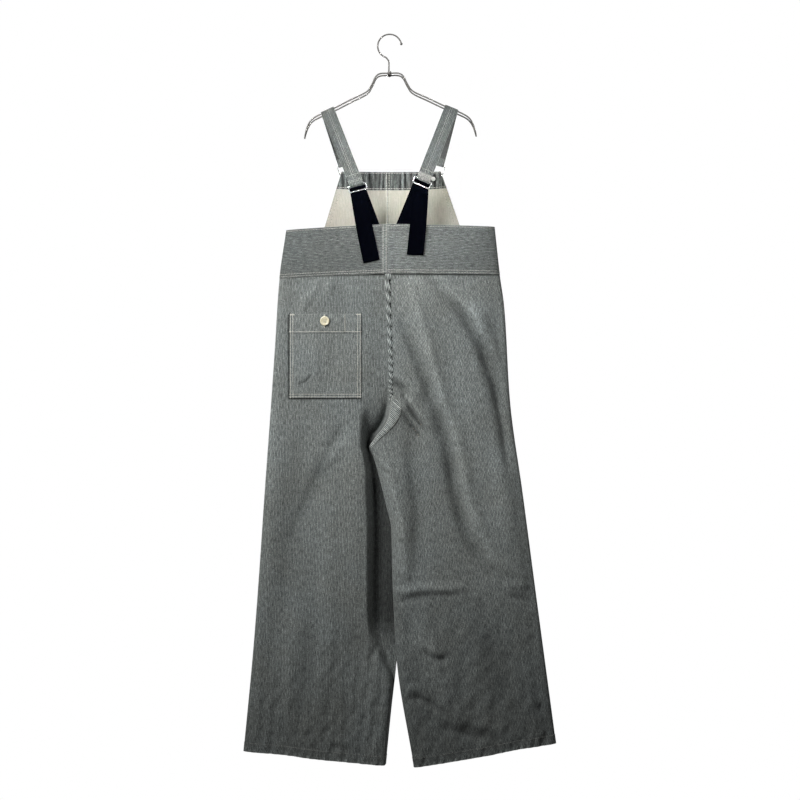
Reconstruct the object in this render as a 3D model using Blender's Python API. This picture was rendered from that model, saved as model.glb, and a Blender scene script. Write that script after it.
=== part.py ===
"""Wide-leg hickory-stripe dungarees hanging by their straps from a double-wire hanger.

The tables and functions below work in millimetres, and the meshes are made in metres.
The origin is the inside of the hook's crown, where a rail carries it. +Z is up, +Y is the
garment's back and +X the wearer's left. At the back the right leg lies over the left one, at
the front the left leg lies over the right one, so the lower edge is alike after half a turn.
"""

import math
from collections import namedtuple

import bpy
import numpy as np
from mathutils import Matrix, Vector

MM = 0.001

# ---- driving sizes ----------------------------------------------------------------------

CLOTH = 1.3  # one layer of denim
BAND = 2.0  # a folded band: yoke, waistband
HEM = 2.2  # turned-up leg hem
STRAP = 1.6  # doubled strap
WEB = 1.2  # webbing
GAP = 0.3  # between neighbouring pieces
EDGE = GAP / 2  # what each panel gives up at a shared seam

SHELL_DEPTH = namedtuple("SHELL_DEPTH", "z half")
DEPTHS = (  # half the front-to-back depth of the hollow cloth
    SHELL_DEPTH(-390, 28.0),
    SHELL_DEPTH(-500, 30.0),
    SHELL_DEPTH(-650, 30.0),
    SHELL_DEPTH(-760, 28.0),
    SHELL_DEPTH(-849, 24.0),
    SHELL_DEPTH(-970, 22.0),
    SHELL_DEPTH(-1120, 22.0),
    SHELL_DEPTH(-1280, 23.0),
    SHELL_DEPTH(-1500, 26.0),
)

OUTLINE = namedtuple("OUTLINE", "z x")
SIDE_SEAM = {
    1: (  # wearer's left
        OUTLINE(-402, 211.8),
        OUTLINE(-502, 226.0),
        OUTLINE(-644, 235.5),
        OUTLINE(-754, 243.0),
        OUTLINE(-962, 258.0),
        OUTLINE(-1123, 269.0),
        OUTLINE(-1265, 280.0),
        OUTLINE(-1475, 300.0),
    ),
    -1: (  # wearer's right
        OUTLINE(-394, -215.5),
        OUTLINE(-494, -226.5),
        OUTLINE(-559, -235.6),
        OUTLINE(-752, -247.5),
        OUTLINE(-946, -274.0),
        OUTLINE(-1143, -300.0),
        OUTLINE(-1460, -342.5),
    ),
}
INSEAM = {
    1: (
        OUTLINE(-849, -36.8),
        OUTLINE(-970, -31.0),
        OUTLINE(-1120, -24.0),
        OUTLINE(-1278, -15.0),
        OUTLINE(-1390, -3.0),
        OUTLINE(-1500, 8.0),
    ),
    -1: (
        OUTLINE(-849, 42.8),
        OUTLINE(-870, 32.5),
        OUTLINE(-899, 24.0),
        OUTLINE(-970, 6.0),
        OUTLINE(-1017, -4.0),
        OUTLINE(-1120, -6.5),
        OUTLINE(-1277, -14.5),
        OUTLINE(-1504, -50.5),
    ),
}
RISE_SEAM = (  # the seat seam; the front rise is its mirror image about CENTRE_X
    OUTLINE(-390, 3.0),
    OUTLINE(-494, 3.0),
    OUTLINE(-711, -3.2),
    OUTLINE(-758, -3.2),
    OUTLINE(-786, 1.5),
    OUTLINE(-805, 11.0),
    OUTLINE(-824, 26.3),
    OUTLINE(-849, 42.8),
)
CENTRE_X = 3.0
CROTCH_Z = -849.0
TORSO_Z = -690.0  # the body starts to part into legs below this height
UNTUCK = 85.0  # height above the crotch where the lower leg is free of the upper one

WAIST_Z = {"centre": -493.6, 1: -502.0, -1: -494.6}  # seam under the yoke and waistband
TOP_Z = {"centre": -391.8, 1: -402.2, -1: -395.2}  # top edge of the yoke and waistband
HEM_IN = {1: -1502.0, -1: -1506.0}
HEM_OUT = {1: -1475.0, -1: -1459.0}
HEM_HEIGHT = 20.0
HEM_RUN = namedtuple("HEM_RUN", "share drop")
HEM_RUNS = (  # how far the hem hangs below a straight line, by share of the leg's width
    HEM_RUN(0.0, 0.0),
    HEM_RUN(0.25, -0.5),
    HEM_RUN(0.5, -1.0),
    HEM_RUN(0.72, -3.3),
    HEM_RUN(1.0, 0.0),
)
BAND_PROUD = 0.8  # how far the bands stand out from the legs

ROWS_ABOVE = (0, 0.12, 0.25, 0.4, 0.55, 0.7, 0.82, 0.9, 0.96, 1.0)
ROWS_BELOW = (0.02, 0.05, 0.09, 0.15, 0.22, 0.3, 0.39, 0.48, 0.57, 0.66, 0.75, 0.84, 0.92)
LEG_PARTS = {"_top": (0, 9), "_middle": (9, 17), "_foot": (17, 25)}  # rows of each leg node
COLUMNS = 12
HIDDEN_COLUMNS = 2  # more columns for the part of a leg that the other one hides

HIDDEN_MARGIN = 5.0  # how far a hidden edge stays flat beyond the other leg's edge
TUCK_RISE = {"crotch": 95.0, "hem": 35.0}  # width over which a tucked edge comes up
SEAM_DRAW = 60.0  # how far the seat seam draws the tucked leg up with it
RISE_GAP = 0.2  # from the seat seam's line to each panel's edge

FOLD = namedtuple("FOLD", "x0 z0 x1 z1 width height")
FOLDS = {  # the largest folds of each leg panel; a negative height is a trough
    (1, 1): (
        FOLD(160, -800, 80, -930, 26, 3.0),
        FOLD(60, -560, 190, -850, 34, -2.5),
        FOLD(40, -960, 60, -1300, 26, -4.0),
    ),
    (1, -1): (
        FOLD(-70, -505, -215, -680, 26, 4.0),
        FOLD(20, -825, -75, -715, 16, 4.0),
        FOLD(-105, -790, -152, -1010, 24, -4.0),
        FOLD(-152, -1010, -215, -1130, 24, -4.0),
        FOLD(-25, -1140, -170, -1150, 18, 3.0),
    ),
    (-1, 1): (
        FOLD(60, -515, 200, -700, 28, 4.0),
        FOLD(-16, -825, 78, -720, 16, 4.0),
        FOLD(110, -800, 160, -1060, 26, -4.0),
        FOLD(40, -1180, 180, -1205, 20, 3.0),
    ),
    (-1, -1): (
        FOLD(-150, -810, -70, -930, 26, 3.0),
        FOLD(-60, -570, -195, -840, 34, -2.5),
        FOLD(-50, -980, -80, -1290, 26, -4.0),
    ),
}

BIB = {
    "top_left": (99.8, -278.8),
    "top_right": (-106.4, -278.8),
    "foot_left_x": 136.0,
    "foot_right_x": -146.5,
    "dip": 1.0,  # the top edge sags this much at the centre
    "top_depth": 21.0,  # distance in front of the middle plane at the top edge
    "seam_x": 4.0,
}
FACING = {"height": 34.0, "sag": 4.0, "inset": 0.6}

POCKET = {"left": 205.0, "right": 57.5, "top": -575.5, "foot": -747.5, "hem": 39.5, "belly": 2.0, "off": 0.6}
POCKET_BUTTON = {"x": 132.0, "z": -590.3, "radius": 9.7, "thick": 3.0}

HANGER_WIRE = namedtuple("HANGER_WIRE", "x z y")
HANGER_ARM = (  # one arm of the near wire, from the cross bar to the tip
    HANGER_WIRE(0, -81.3, 14.0),
    HANGER_WIRE(18, -81.5, 14.0),
    HANGER_WIRE(28, -87.5, 14.3),
    HANGER_WIRE(37, -105.0, 15.0),
    HANGER_WIRE(48, -119.3, 15.5),
    HANGER_WIRE(80, -134.9, 17.2),
    HANGER_WIRE(112, -150.7, 17.5),
    HANGER_WIRE(142, -163.6, 17.5),
    HANGER_WIRE(160, -173.6, 15.5),
    HANGER_WIRE(169.0, -185.5, 12.0),
    HANGER_WIRE(174.5, -201.0, 6.0),
)
HANGER_TIP = HANGER_WIRE(176.5, -210.5, 0.0)
HANGER_TILT = math.radians(0.8)
WIRE_RADIUS = 1.5
WIRE_STEP = 10.0
CROSS_BAR = {"z": -80.3, "radius": 4.2, "half": 17.0}
HOOK = {"x": -0.2, "z": -23.0, "radius": 24.5, "tip_deg": 169, "foot_deg": -72, "stem_x": 1.4}
HOOK_BALL = 2.7

SHOULDER_X = {1: 126.6, -1: -126.8}  # where each strap crosses the hanger
STRAP_WIDTH = 28.5
STRAP_FLAP = 14.0
STRAP_SAG = 1.3  # between the two wires

SLIDE_WIRE = 1.1
SLIDE_PITCH = 6.3  # from one bar to the next
SLIDE_HALF = 18.4
SLIDE_Y = 29.0
SLIDE = namedtuple("SLIDE", "x z tilt_deg")  # middle bar's centre, and how the bars tilt
SLIDES = {1: SLIDE(65.3, -317.6, 14.4), -1: SLIDE(-66.8, -307.3, -23.4)}

WEB_WIDTH = 34.0
ROUTE = namedtuple("ROUTE", "x z y tilt_deg")
WEB_ROOT = {  # the sewn end inside the yoke, from the slide down
    1: (ROUTE(37.5, -394.7, 26.0, 19.8), ROUTE(26.6, -425.0, 26.4, 19.8)),
    -1: (ROUTE(-30.6, -395.6, 26.0, -22.3), ROUTE(-18.5, -425.0, 26.4, -22.3)),
}
WEB_TAIL = {  # the free end outside the yoke, from the slide down
    1: (
        ROUTE(58.5, -356.0, 29.0, 10.5),
        ROUTE(52.0, -394.0, 31.6, 10.5),
        ROUTE(45.0, -430.0, 32.6, 11.5),
        ROUTE(36.6, -468.6, 33.4, 12.6),
    ),
    -1: (
        ROUTE(-61.5, -352.0, 29.0, -5.0),
        ROUTE(-58.8, -392.0, 31.6, -4.0),
        ROUTE(-55.6, -425.0, 32.4, -2.5),
        ROUTE(-52.3, -455.8, 33.0, -2.8),
    ),
}

BUCKLE_Y = -24.8
BUCKLE_WIRE = 1.2
BUCKLE = {"half": 16.4, "top": 32.0, "shoulder": 15.0, "throat": 4.7}
BIB_BUTTON = namedtuple("BIB_BUTTON", "x z")
BIB_BUTTONS = {1: BIB_BUTTON(82.8, -294.0), -1: BIB_BUTTON(-90.6, -294.2)}
BUTTON_CAP = 8.5
BUTTON_SHANK = 3.0
RIVET_RADIUS = 4.4

SIDE_NAME = {1: "left", -1: "right"}

# ---- small helpers ----------------------------------------------------------------------


def mix(a, b, t):
    return a + (b - a) * t


def smooth(value, start, end):
    """0 before start, 1 after end and an S-curve between them."""
    t = min(1.0, max(0.0, (value - start) / (end - start)))
    return t * t * (3 - 2 * t)


def column(rows, z, name):
    """A table's column at height z, straight between its rows."""
    ordered = sorted(rows, key=lambda row: row.z)
    return float(np.interp(z, [r.z for r in ordered], [getattr(r, name) for r in ordered]))


def flowing(points, step):
    """Points about step apart on a smooth curve through the given ones."""
    points = [Vector(p) for p in points]
    ends = [2 * points[0] - points[1], *points, 2 * points[-1] - points[-2]]
    line = []
    for a, b, c, d in zip(ends, ends[1:], ends[2:], ends[3:]):
        count = max(1, round((c - b).length / step))
        for k in range(count):
            t = k / count
            line.append(
                0.5 * (2 * b + (c - a) * t + (2 * a - 5 * b + 4 * c - d) * t**2
                       + (3 * b - a - 3 * c + d) * t**3)
            )
    return [*line, points[-1]]


def arc(centre, radius, start_deg, end_deg, count):
    """Points of an arc as (across, up) pairs."""
    angles = [math.radians(mix(start_deg, end_deg, k / count)) for k in range(count + 1)]
    return [(centre[0] + radius * math.cos(a), centre[1] + radius * math.sin(a)) for a in angles]


def rounded_loop(corners, radius, count=3):
    """A closed outline whose corners are arcs of one radius."""
    line = []
    for before, corner, after in zip([corners[-1], *corners], corners, [*corners[1:], corners[0]]):
        corner = Vector(corner)
        back = (Vector(before) - corner).normalized()
        ahead = (Vector(after) - corner).normalized()
        half = back.angle(ahead) / 2
        reach = radius / math.tan(half)
        centre = corner + (back + ahead).normalized() * (radius / math.sin(half))
        first, last = corner + back * reach, corner + ahead * reach
        for k in range(count + 1):
            spoke = mix(first, last, k / count) - centre
            line.append(centre + spoke.normalized() * radius)
    return line


def material(name, colour, roughness, metallic=0.0):
    made = bpy.data.materials.new(name)
    made.use_nodes = True
    shader = made.node_tree.nodes["Principled BSDF"]
    shader.inputs["Base Color"].default_value = (*colour, 1.0)
    shader.inputs["Roughness"].default_value = roughness
    shader.inputs["Metallic"].default_value = metallic
    return made


def solid(name, points, faces, finish, smooth_deg=None):
    """A mesh object from points in millimetres, its faces turned outwards."""
    volume = 0.0
    for face in faces:
        a = Vector(points[face[0]])
        for b, c in zip(face[1:], face[2:]):
            volume += a.dot(Vector(points[b]).cross(Vector(points[c])))
    if volume < 0:
        faces = [tuple(reversed(face)) for face in faces]
    mesh = bpy.data.meshes.new(name)
    mesh.from_pydata([Vector(p) * MM for p in points], [], faces)
    mesh.materials.append(finish)
    if smooth_deg:
        mesh.shade_smooth()
        mesh.set_sharp_from_angle(angle=math.radians(smooth_deg))
    made = bpy.data.objects.new(name, mesh)
    bpy.context.collection.objects.link(made)
    return made


def cloth(name, grid, thick, finish, edges=None, parts=None):
    """A wall around a grid of points, rows first; a grid may lack points (None).

    thick holds a thickness for each row. edges may hold, for each row, the direction in which
    the cloth runs at its first and last point, where the grid alone doesn't tell. parts may name
    runs of rows that become nodes of their own, with a gap between one and the next.
    """
    def at(r, c):
        inside = 0 <= r < len(grid) and 0 <= c < len(grid[0])
        return grid[r][c] if inside else None

    pairs = {}
    for r, row in enumerate(grid):
        present = [c for c, point in enumerate(row) if point is not None]
        for c in present:
            point = row[c]
            along = (at(r, c + 1) or point) - (at(r, c - 1) or point)
            down = (at(r + 1, c) or point) - (at(r - 1, c) or point)
            if edges and c == present[0] and edges[r][0]:
                along = edges[r][0]
            if edges and c == present[-1] and edges[r][1]:
                along = edges[r][1]
            normal = along.cross(down).normalized() * (thick[r] / 2)
            pairs[r, c] = point + normal, point - normal

    last_row = len(grid) - 1
    for part, (first, last) in (parts or {"": (0, last_row)}).items():
        lifts = {first: -EDGE if first > 0 else 0, last: EDGE if last < last_row else 0}
        number, outer, inner, tiles, sides = {}, [], [], [], set()
        for r in range(first, last):
            for c in range(len(grid[0]) - 1):
                spots = ((r, c), (r, c + 1), (r + 1, c + 1), (r + 1, c))
                if not all(spot in pairs for spot in spots):
                    continue
                for spot in spots:
                    if spot not in number:
                        lift = Vector((0, 0, lifts.get(spot[0], 0)))
                        number[spot] = len(outer)
                        outer.append(pairs[spot][0] + lift)
                        inner.append(pairs[spot][1] + lift)
                tile = tuple(number[spot] for spot in spots)
                tiles.append(tile)
                sides.update(zip(tile, [*tile[1:], tile[0]]))
        count = len(outer)
        faces = tiles + [tuple(count + corner for corner in reversed(tile)) for tile in tiles]
        faces += [(b, a, a + count, b + count) for a, b in sorted(sides) if (b, a) not in sides]
        solid(name + part, outer + inner, faces, finish, 40)


def ribbon(name, stations, width, thick, finish):
    """A flat strip through stations of (centre, direction across it)."""
    points, faces = [], []
    for k, (centre, across) in enumerate(stations):
        before = stations[max(k - 1, 0)][0]
        after = stations[min(k + 1, len(stations) - 1)][0]
        up = (after - before).cross(across).normalized() * (thick / 2)
        side = across * (width / 2)
        points += [centre - side - up, centre + side - up, centre + side + up, centre - side + up]
        if k:
            base = 4 * k
            for edge in range(4):
                turn = (edge + 1) % 4
                faces.append((base + edge, base + turn, base - 4 + turn, base - 4 + edge))
    last = 4 * (len(stations) - 1)
    faces += [(0, 1, 2, 3), (last + 3, last + 2, last + 1, last)]
    return solid(name, points, faces, finish, 40)


def turned(name, profile, centre, axis, finish, sides=20):
    """A profile of (radius, height) pairs turned about an axis; its ends are on the axis."""
    turn = Vector((0, 0, 1)).rotation_difference(axis).to_matrix()
    points = [centre + turn @ Vector((0, 0, profile[0][1]))]
    for radius, height in profile[1:-1]:
        for k in range(sides):
            angle = 2 * math.pi * k / sides
            spoke = Vector((radius * math.cos(angle), radius * math.sin(angle), height))
            points.append(centre + turn @ spoke)
    points.append(centre + turn @ Vector((0, 0, profile[-1][1])))
    rings, last = len(profile) - 2, len(points) - 1
    faces = []
    for k in range(sides):
        n = (k + 1) % sides
        faces.append((0, 1 + n, 1 + k))
        for r in range(rings - 1):
            a, b = 1 + r * sides, 1 + (r + 1) * sides
            faces.append((a + k, a + n, b + n, b + k))
        faces.append((last, 1 + (rings - 1) * sides + k, 1 + (rings - 1) * sides + n))
    return solid(name, points, faces, finish, 35)


def wire(name, line, radius, finish, closed=False):
    """A round wire along a line of points, as a mesh."""
    curve = bpy.data.curves.new(name, "CURVE")
    curve.dimensions = "3D"
    curve.bevel_depth = radius * MM
    curve.bevel_resolution = 2
    curve.use_fill_caps = True
    spline = curve.splines.new("POLY")
    spline.points.add(len(line) - 1)
    for point, place in zip(spline.points, line):
        point.co = (*(Vector(place) * MM), 1.0)
    spline.use_cyclic_u = closed
    guide = bpy.data.objects.new(name + "_line", curve)
    bpy.context.collection.objects.link(guide)
    mesh = bpy.data.meshes.new_from_object(
        guide.evaluated_get(bpy.context.evaluated_depsgraph_get())
    )
    bpy.data.objects.remove(guide)
    mesh.materials.clear()
    mesh.materials.append(finish)
    mesh.shade_smooth()
    made = bpy.data.objects.new(name, mesh)
    bpy.context.collection.objects.link(made)
    return made


def merge(body, *others):
    """Joins solids that meet into body's one skin."""
    for other in others:
        union = body.modifiers.new("union", "BOOLEAN")
        union.operation = "UNION"
        union.object = other
        mesh = bpy.data.meshes.new_from_object(
            body.evaluated_get(bpy.context.evaluated_depsgraph_get())
        )
        body.modifiers.clear()
        body.data = mesh
        bpy.data.objects.remove(other)
    return body


# ---- the form of the cloth --------------------------------------------------------------


def half_depth(z):
    return column(DEPTHS, z, "half")


def side_x(side, z):
    return column(SIDE_SEAM[side], z, "x")


def inseam_x(side, z):
    return column(INSEAM[side], min(z, CROTCH_Z), "x")


def rise_x(face, z):
    x = column(RISE_SEAM, z, "x")
    return x if face > 0 else 2 * CENTRE_X - x


def round_side(share):
    """A quarter of an ellipse: 1 at the centre seam, 0 at the side seam."""
    return math.sqrt(max(0.0, 1 - share * share))


def round_tube(share):
    """Half an ellipse: 0 at the inseam and at the side seam."""
    return math.sqrt(max(0.0, 1 - (2 * share - 1) ** 2))


def lies_over(side, face):
    return side * face < 0


def fold_lift(side, face, x, z):
    """What the large folds add to the cloth's depth at one point."""
    lift = 0.0
    for fold in FOLDS[(face, side)]:
        run = Vector((fold.x1 - fold.x0, fold.z1 - fold.z0))
        off = Vector((x - fold.x0, z - fold.z0))
        along = min(1.0, max(0.0, off.dot(run) / run.length_squared))
        away = (off - run * along).length / fold.width
        lift += fold.height * math.exp(-away * away) * math.sin(math.pi * mix(0.12, 0.88, along))
    edge = smooth(abs(x - side_x(side, z)), 4, 40) * smooth(abs(x - rise_x(face, z)), 0, 12)
    return lift * edge * smooth(WAIST_Z["centre"] - z, 4, 40) * smooth(z - HEM_IN[side], 20, 60)


def inner_depth(side, face, wall=CLOTH):
    """Depth of a leg's inner edge: over the middle plane's other side, or tucked below it."""
    tuck = wall / 2 + EDGE
    return tuck + wall / 2 + GAP if lies_over(side, face) else -tuck


def hidden_width(z):
    """How much of a leg's width, from its inner edge, the other leg hides."""
    margin = HIDDEN_MARGIN * smooth(CROTCH_Z - z, 0, 30)
    return max(0.0, inseam_x(-1, z) - inseam_x(1, z)) + margin


def leg_tube_depth(side, face, x, z):
    """Depth of a leg's wall where the leg is a tube of its own."""
    depth, inner, outer = half_depth(z), inseam_x(side, z), side_x(side, z)
    share = min(1.0, max(0.0, (x - inner) / (outer - inner)))
    start = inner_depth(side, -side)
    free = mix(start, EDGE, smooth(share, 0.0, 0.3)) + (depth - start) * round_tube(share)
    if lies_over(side, face):
        return free
    hidden = hidden_width(z)
    width = mix(TUCK_RISE["crotch"], TUCK_RISE["hem"], smooth(CROTCH_Z - z, 0, 650))
    tucked = mix(inner_depth(side, side), free, smooth(abs(x - inner), hidden, hidden + width))
    return mix(tucked, free, smooth(z - CROTCH_Z, 0, UNTUCK))


def leg_depth(side, face, x, z):
    """Distance of a leg panel's middle surface from the middle plane, towards its face."""
    if z <= CROTCH_Z:
        return leg_tube_depth(side, face, x, z) + fold_lift(side, face, x, z)
    depth, seam = half_depth(z), rise_x(face, z)
    parting = smooth(-z, -TORSO_Z, -CROTCH_Z)

    def blended(which, at_x):
        share = min(1.0, max(0.0, (at_x - seam) / (side_x(which, z) - seam)))
        torso = EDGE + (depth - EDGE) * round_side(share)
        return mix(torso, leg_tube_depth(which, face, at_x, z), parting)

    at_seam = blended(-face, seam)  # the leg that lies over sets the height of the seam
    lift = at_seam - blended(side, seam)
    draw = max(0.0, 1 - abs(x - seam) / SEAM_DRAW) ** 2
    return blended(side, x) + lift * draw + fold_lift(side, face, x, z)


def columns_of(count):
    """Shares of a row's width, closer together towards both edges."""
    return [(1 - math.cos(math.pi * k / count)) / 2 for k in range(count + 1)]


def leg_rows(side):
    """(Above or below the crotch, share of the way down, thickness) for each row of a leg."""
    hem_share = 1 - HEM_HEIGHT / (CROTCH_Z - HEM_IN[side])
    rows = [(True, t, CLOTH) for t in ROWS_ABOVE]
    rows += [(False, t, CLOTH) for t in (*ROWS_BELOW, hem_share - 0.001)]
    return [*rows, (False, hem_share, HEM), (False, 1.0, HEM)]


def leg_panel(side, face, finish):
    """One leg panel from the waist seam to the hem, parted at the crotch and at the knee.

    It is one piece of cloth; the parting lets collision follow its form. A panel that the
    other leg hides gets extra columns, from the crotch down.
    """
    over, grid, thick, edges = lies_over(side, face), [], [], []
    for above, t, wall in leg_rows(side):
        if above:
            z_in = mix(WAIST_Z["centre"] - EDGE, CROTCH_Z, t)
            z_out = mix(WAIST_Z[side] - EDGE, CROTCH_Z, t)
            x_in = rise_x(face, z_in) + side * RISE_GAP
        else:
            z_in, z_out = mix(CROTCH_Z, HEM_IN[side], t), mix(CROTCH_Z, HEM_OUT[side], t)
            x_in = inseam_x(side, z_in) + (0 if over else side * hidden_width(z_in))
        x_out = side_x(side, z_out)
        row = []
        for share in columns_of(COLUMNS):
            z = mix(z_in, z_out, share)
            if not above:
                z -= t**6 * float(np.interp(share, *zip(*HEM_RUNS)))
            x = mix(x_in, x_out, share)
            row.append(Vector((x, face * leg_depth(side, face, x, z), z)))
        row[-1].y = face * EDGE
        at_crotch = above and t == 1.0
        if over and (at_crotch or not above):
            row[0].y = face * inner_depth(side, face, wall)
        if not over:
            hidden = [None] * HIDDEN_COLUMNS
            if at_crotch or not above:
                row[0].y = face * inner_depth(side, face, wall)
                rim = Vector((inseam_x(side, z_in), row[0].y, z_in))
                hidden = [rim.lerp(row[0], k / HIDDEN_COLUMNS) for k in range(HIDDEN_COLUMNS)]
            row = hidden + row
        grid.append(row)
        thick.append(wall)
        upright = over and (at_crotch or not above)
        edges.append((Vector((0, face, 0)) if upright else Vector((side, 0, 0)), Vector((0, -face, 0))))
    name = "{}_leg_{}".format("back" if face > 0 else "front", SIDE_NAME[side])
    cloth(name, grid, thick, finish, edges, LEG_PARTS)


def band_point(side, face, share, down, outwards=BAND_PROUD):
    """A point of the yoke or waistband: share across from the centre seam, down from its top."""
    z_in = mix(TOP_Z["centre"], WAIST_Z["centre"] + EDGE, down)
    z_out = mix(TOP_Z[side], WAIST_Z[side] + EDGE, down)
    x = mix(rise_x(face, z_in) + side * EDGE, side_x(side, z_out), share)
    z = mix(z_in, z_out, share)
    depth = EDGE if share == 1.0 else EDGE + (half_depth(z) + outwards) * round_side(share)
    return Vector((x, face * depth, z))


def band_panel(side, face, name, finish):
    grid = []
    for down in (0, 0.5, 1.0):
        grid.append([band_point(side, face, share, down) for share in columns_of(COLUMNS)])
    edges = [(Vector((side, 0, 0)), Vector((0, -face, 0)))] * len(grid)
    cloth(name, grid, [BAND] * len(grid), finish, edges)


# ---- bib --------------------------------------------------------------------------------


def waist_top(x):
    """The bib's foot at x: one gap above the front waistband's top edge."""
    side = 1 if x > CENTRE_X else -1
    inner, outer = band_point(side, -1, 0, 0), band_point(side, -1, 1, 0)
    share = min(1.0, max(0.0, (x - inner.x) / (outer.x - inner.x)))
    spot = band_point(side, -1, share, 0)
    return Vector((x, spot.y, spot.z + GAP))


def bib_point(x, up):
    """A point of the bib's middle surface at x, up from its foot on the waistband."""
    foot = waist_top(x)
    share = (x - BIB["top_right"][0]) / (BIB["top_left"][0] - BIB["top_right"][0])
    top_z = mix(BIB["top_right"][1], BIB["top_left"][1], share)
    top_z -= BIB["dip"] * 4 * share * (1 - share) if 0 < share < 1 else 0
    return Vector((x, mix(foot.y, -BIB["top_depth"], up), mix(foot.z, top_z, up)))


def bib_edge_x(side, up):
    if side > 0:
        return mix(BIB["foot_left_x"], BIB["top_left"][0], up)
    return mix(BIB["foot_right_x"], BIB["top_right"][0], up)


def bib_up(z):
    """How far up the bib the height z lies."""
    foot = TOP_Z["centre"]
    return (z - foot) / (BIB["top_left"][1] - foot)


def bib_half(side, finish):
    grid = []
    for up in (0.0, 0.2, 0.4, 0.6, 0.8, 1.0):
        ends = BIB["seam_x"] + side * EDGE, bib_edge_x(side, up)
        grid.append([bib_point(mix(*ends, k / 6), up) for k in range(7)])
    cloth("bib_" + SIDE_NAME[side], grid, [CLOTH] * len(grid), finish)


def bib_facing(finish):
    """The strip that finishes the bib's top edge on the inside."""
    out = Vector((0, CLOTH + 1.5 * GAP, 0))
    grid = []
    for part in (0.0, 0.5, 1.0):
        row = []
        for k in range(13):
            share = k / 12
            height = FACING["height"] + FACING["sag"] * 4 * share * (1 - share)
            up = mix(bib_up(BIB["top_left"][1] - height), 1.0, part)
            ends = bib_edge_x(-1, up) + FACING["inset"], bib_edge_x(1, up) - FACING["inset"]
            row.append(bib_point(mix(*ends, share), up) + out)
        grid.append(row)
    cloth("bib_facing", grid, [CLOTH] * len(grid), finish)


# ---- pocket -----------------------------------------------------------------------------


def pocket_point(x, z, outwards):
    """A point over the left seat, that far out from the leg panel's middle surface."""
    return Vector((x, leg_depth(1, 1, x, z) + outwards, z))


def back_pocket(finish):
    hem_z = POCKET["top"] - POCKET["hem"]
    levels = [(POCKET["top"], HEM), (mix(POCKET["top"], hem_z, 0.5), HEM), (hem_z + 0.3, HEM)]
    levels += [(mix(hem_z, POCKET["foot"], k / 4), CLOTH) for k in range(5)]
    grid = []
    for z, wall in levels:
        row = []
        for k in range(7):
            share = k / 6
            down = (POCKET["top"] - z) / (POCKET["top"] - POCKET["foot"])
            belly = POCKET["belly"] * math.sin(math.pi * share) * math.sin(math.pi * down)
            outwards = CLOTH / 2 + POCKET["off"] + wall / 2 + belly
            row.append(pocket_point(mix(POCKET["left"], POCKET["right"], share), z, outwards))
        grid.append(row)
    cloth("back_pocket", grid, [wall for _, wall in levels], finish)


def pocket_button(finish):
    x, z = POCKET_BUTTON["x"], POCKET_BUTTON["z"]
    belly = POCKET["belly"] * math.sin(math.pi * (POCKET["top"] - z) / (POCKET["top"] - POCKET["foot"]))
    seat = pocket_point(x, z, CLOTH / 2 + POCKET["off"] + HEM + belly + GAP)
    beside = pocket_point(x + 10, z, 0) - pocket_point(x - 10, z, 0)
    below = pocket_point(x, z - 10, 0) - pocket_point(x, z + 10, 0)
    radius, thick = POCKET_BUTTON["radius"], POCKET_BUTTON["thick"]
    profile = (
        (0, 0), (radius * 0.8, 0), (radius, thick * 0.35), (radius, thick * 0.75),
        (radius * 0.88, thick), (radius * 0.72, thick), (radius * 0.6, thick * 0.7), (0, thick * 0.7),
    )
    return turned("pocket_button", profile, seat + Vector((0, 0.4, 0)), beside.cross(below), finish, 24)


# ---- hanger -----------------------------------------------------------------------------


def tilted(point):
    """A point of the hanger, with the slight lean that it hangs at."""
    pivot = Vector((0, 0, CROSS_BAR["z"]))
    return Matrix.Rotation(HANGER_TILT, 3, "Y") @ (point - pivot) + pivot


def hanger_side(side_x_sign, side_y_sign):
    """One arm of one wire, from the cross bar out to its tip."""
    arm = [Vector((side_x_sign * p.x, side_y_sign * p.y, p.z)) for p in HANGER_ARM]
    tip = Vector((side_x_sign * HANGER_TIP.x, 0, HANGER_TIP.z))
    return [tilted(p) for p in flowing([*arm, tip], WIRE_STEP)]


def hanger_frame(finish):
    near_left, far_left = hanger_side(1, 1), hanger_side(1, -1)
    far_right, near_right = hanger_side(-1, -1), hanger_side(-1, 1)
    loop = near_left + far_left[-2::-1] + far_right[1:] + near_right[-2:0:-1]
    wires = wire("hanger_frame", loop, WIRE_RADIUS, finish, closed=True)
    half, radius = CROSS_BAR["half"], CROSS_BAR["radius"]
    profile = (
        (0, -half), (radius * 0.7, -half + 0.8), (radius, -half + 3.2),
        (radius, half - 3.2), (radius * 0.7, half - 0.8), (0, half),
    )
    centre = Vector((0, 0, CROSS_BAR["z"]))
    return merge(wires, turned("cross_bar", profile, centre, Vector((0, 1, 0)), finish, 16))


def hanger_hook(finish):
    """The hook's circle, from its ball tip over the crown and down into the stem."""
    circle = arc((HOOK["x"], HOOK["z"]), HOOK["radius"], HOOK["tip_deg"], HOOK["foot_deg"], 22)
    line = [Vector((x, 0, z)) for x, z in circle]
    foot = line[-1]
    stem_top = Vector((HOOK["stem_x"], 0, foot.z - 9))
    bend = [mix(foot, stem_top, 0.5) + Vector((-1.2, 0, -0.6)), stem_top]
    stem_foot = Vector((HOOK["stem_x"], 0, CROSS_BAR["z"] + CROSS_BAR["radius"] + GAP + 0.1))
    hook = wire("hanger_hook", [*line, *bend, stem_foot], WIRE_RADIUS, finish)
    ball = [(0, -HOOK_BALL)]
    ball += [(HOOK_BALL * math.sin(a), -HOOK_BALL * math.cos(a))
             for a in (math.pi * k / 7 for k in range(1, 7))]
    ball += [(0, HOOK_BALL)]
    return merge(hook, turned("ball", ball, line[0], Vector((0, 0, 1)), finish, 12))


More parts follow.
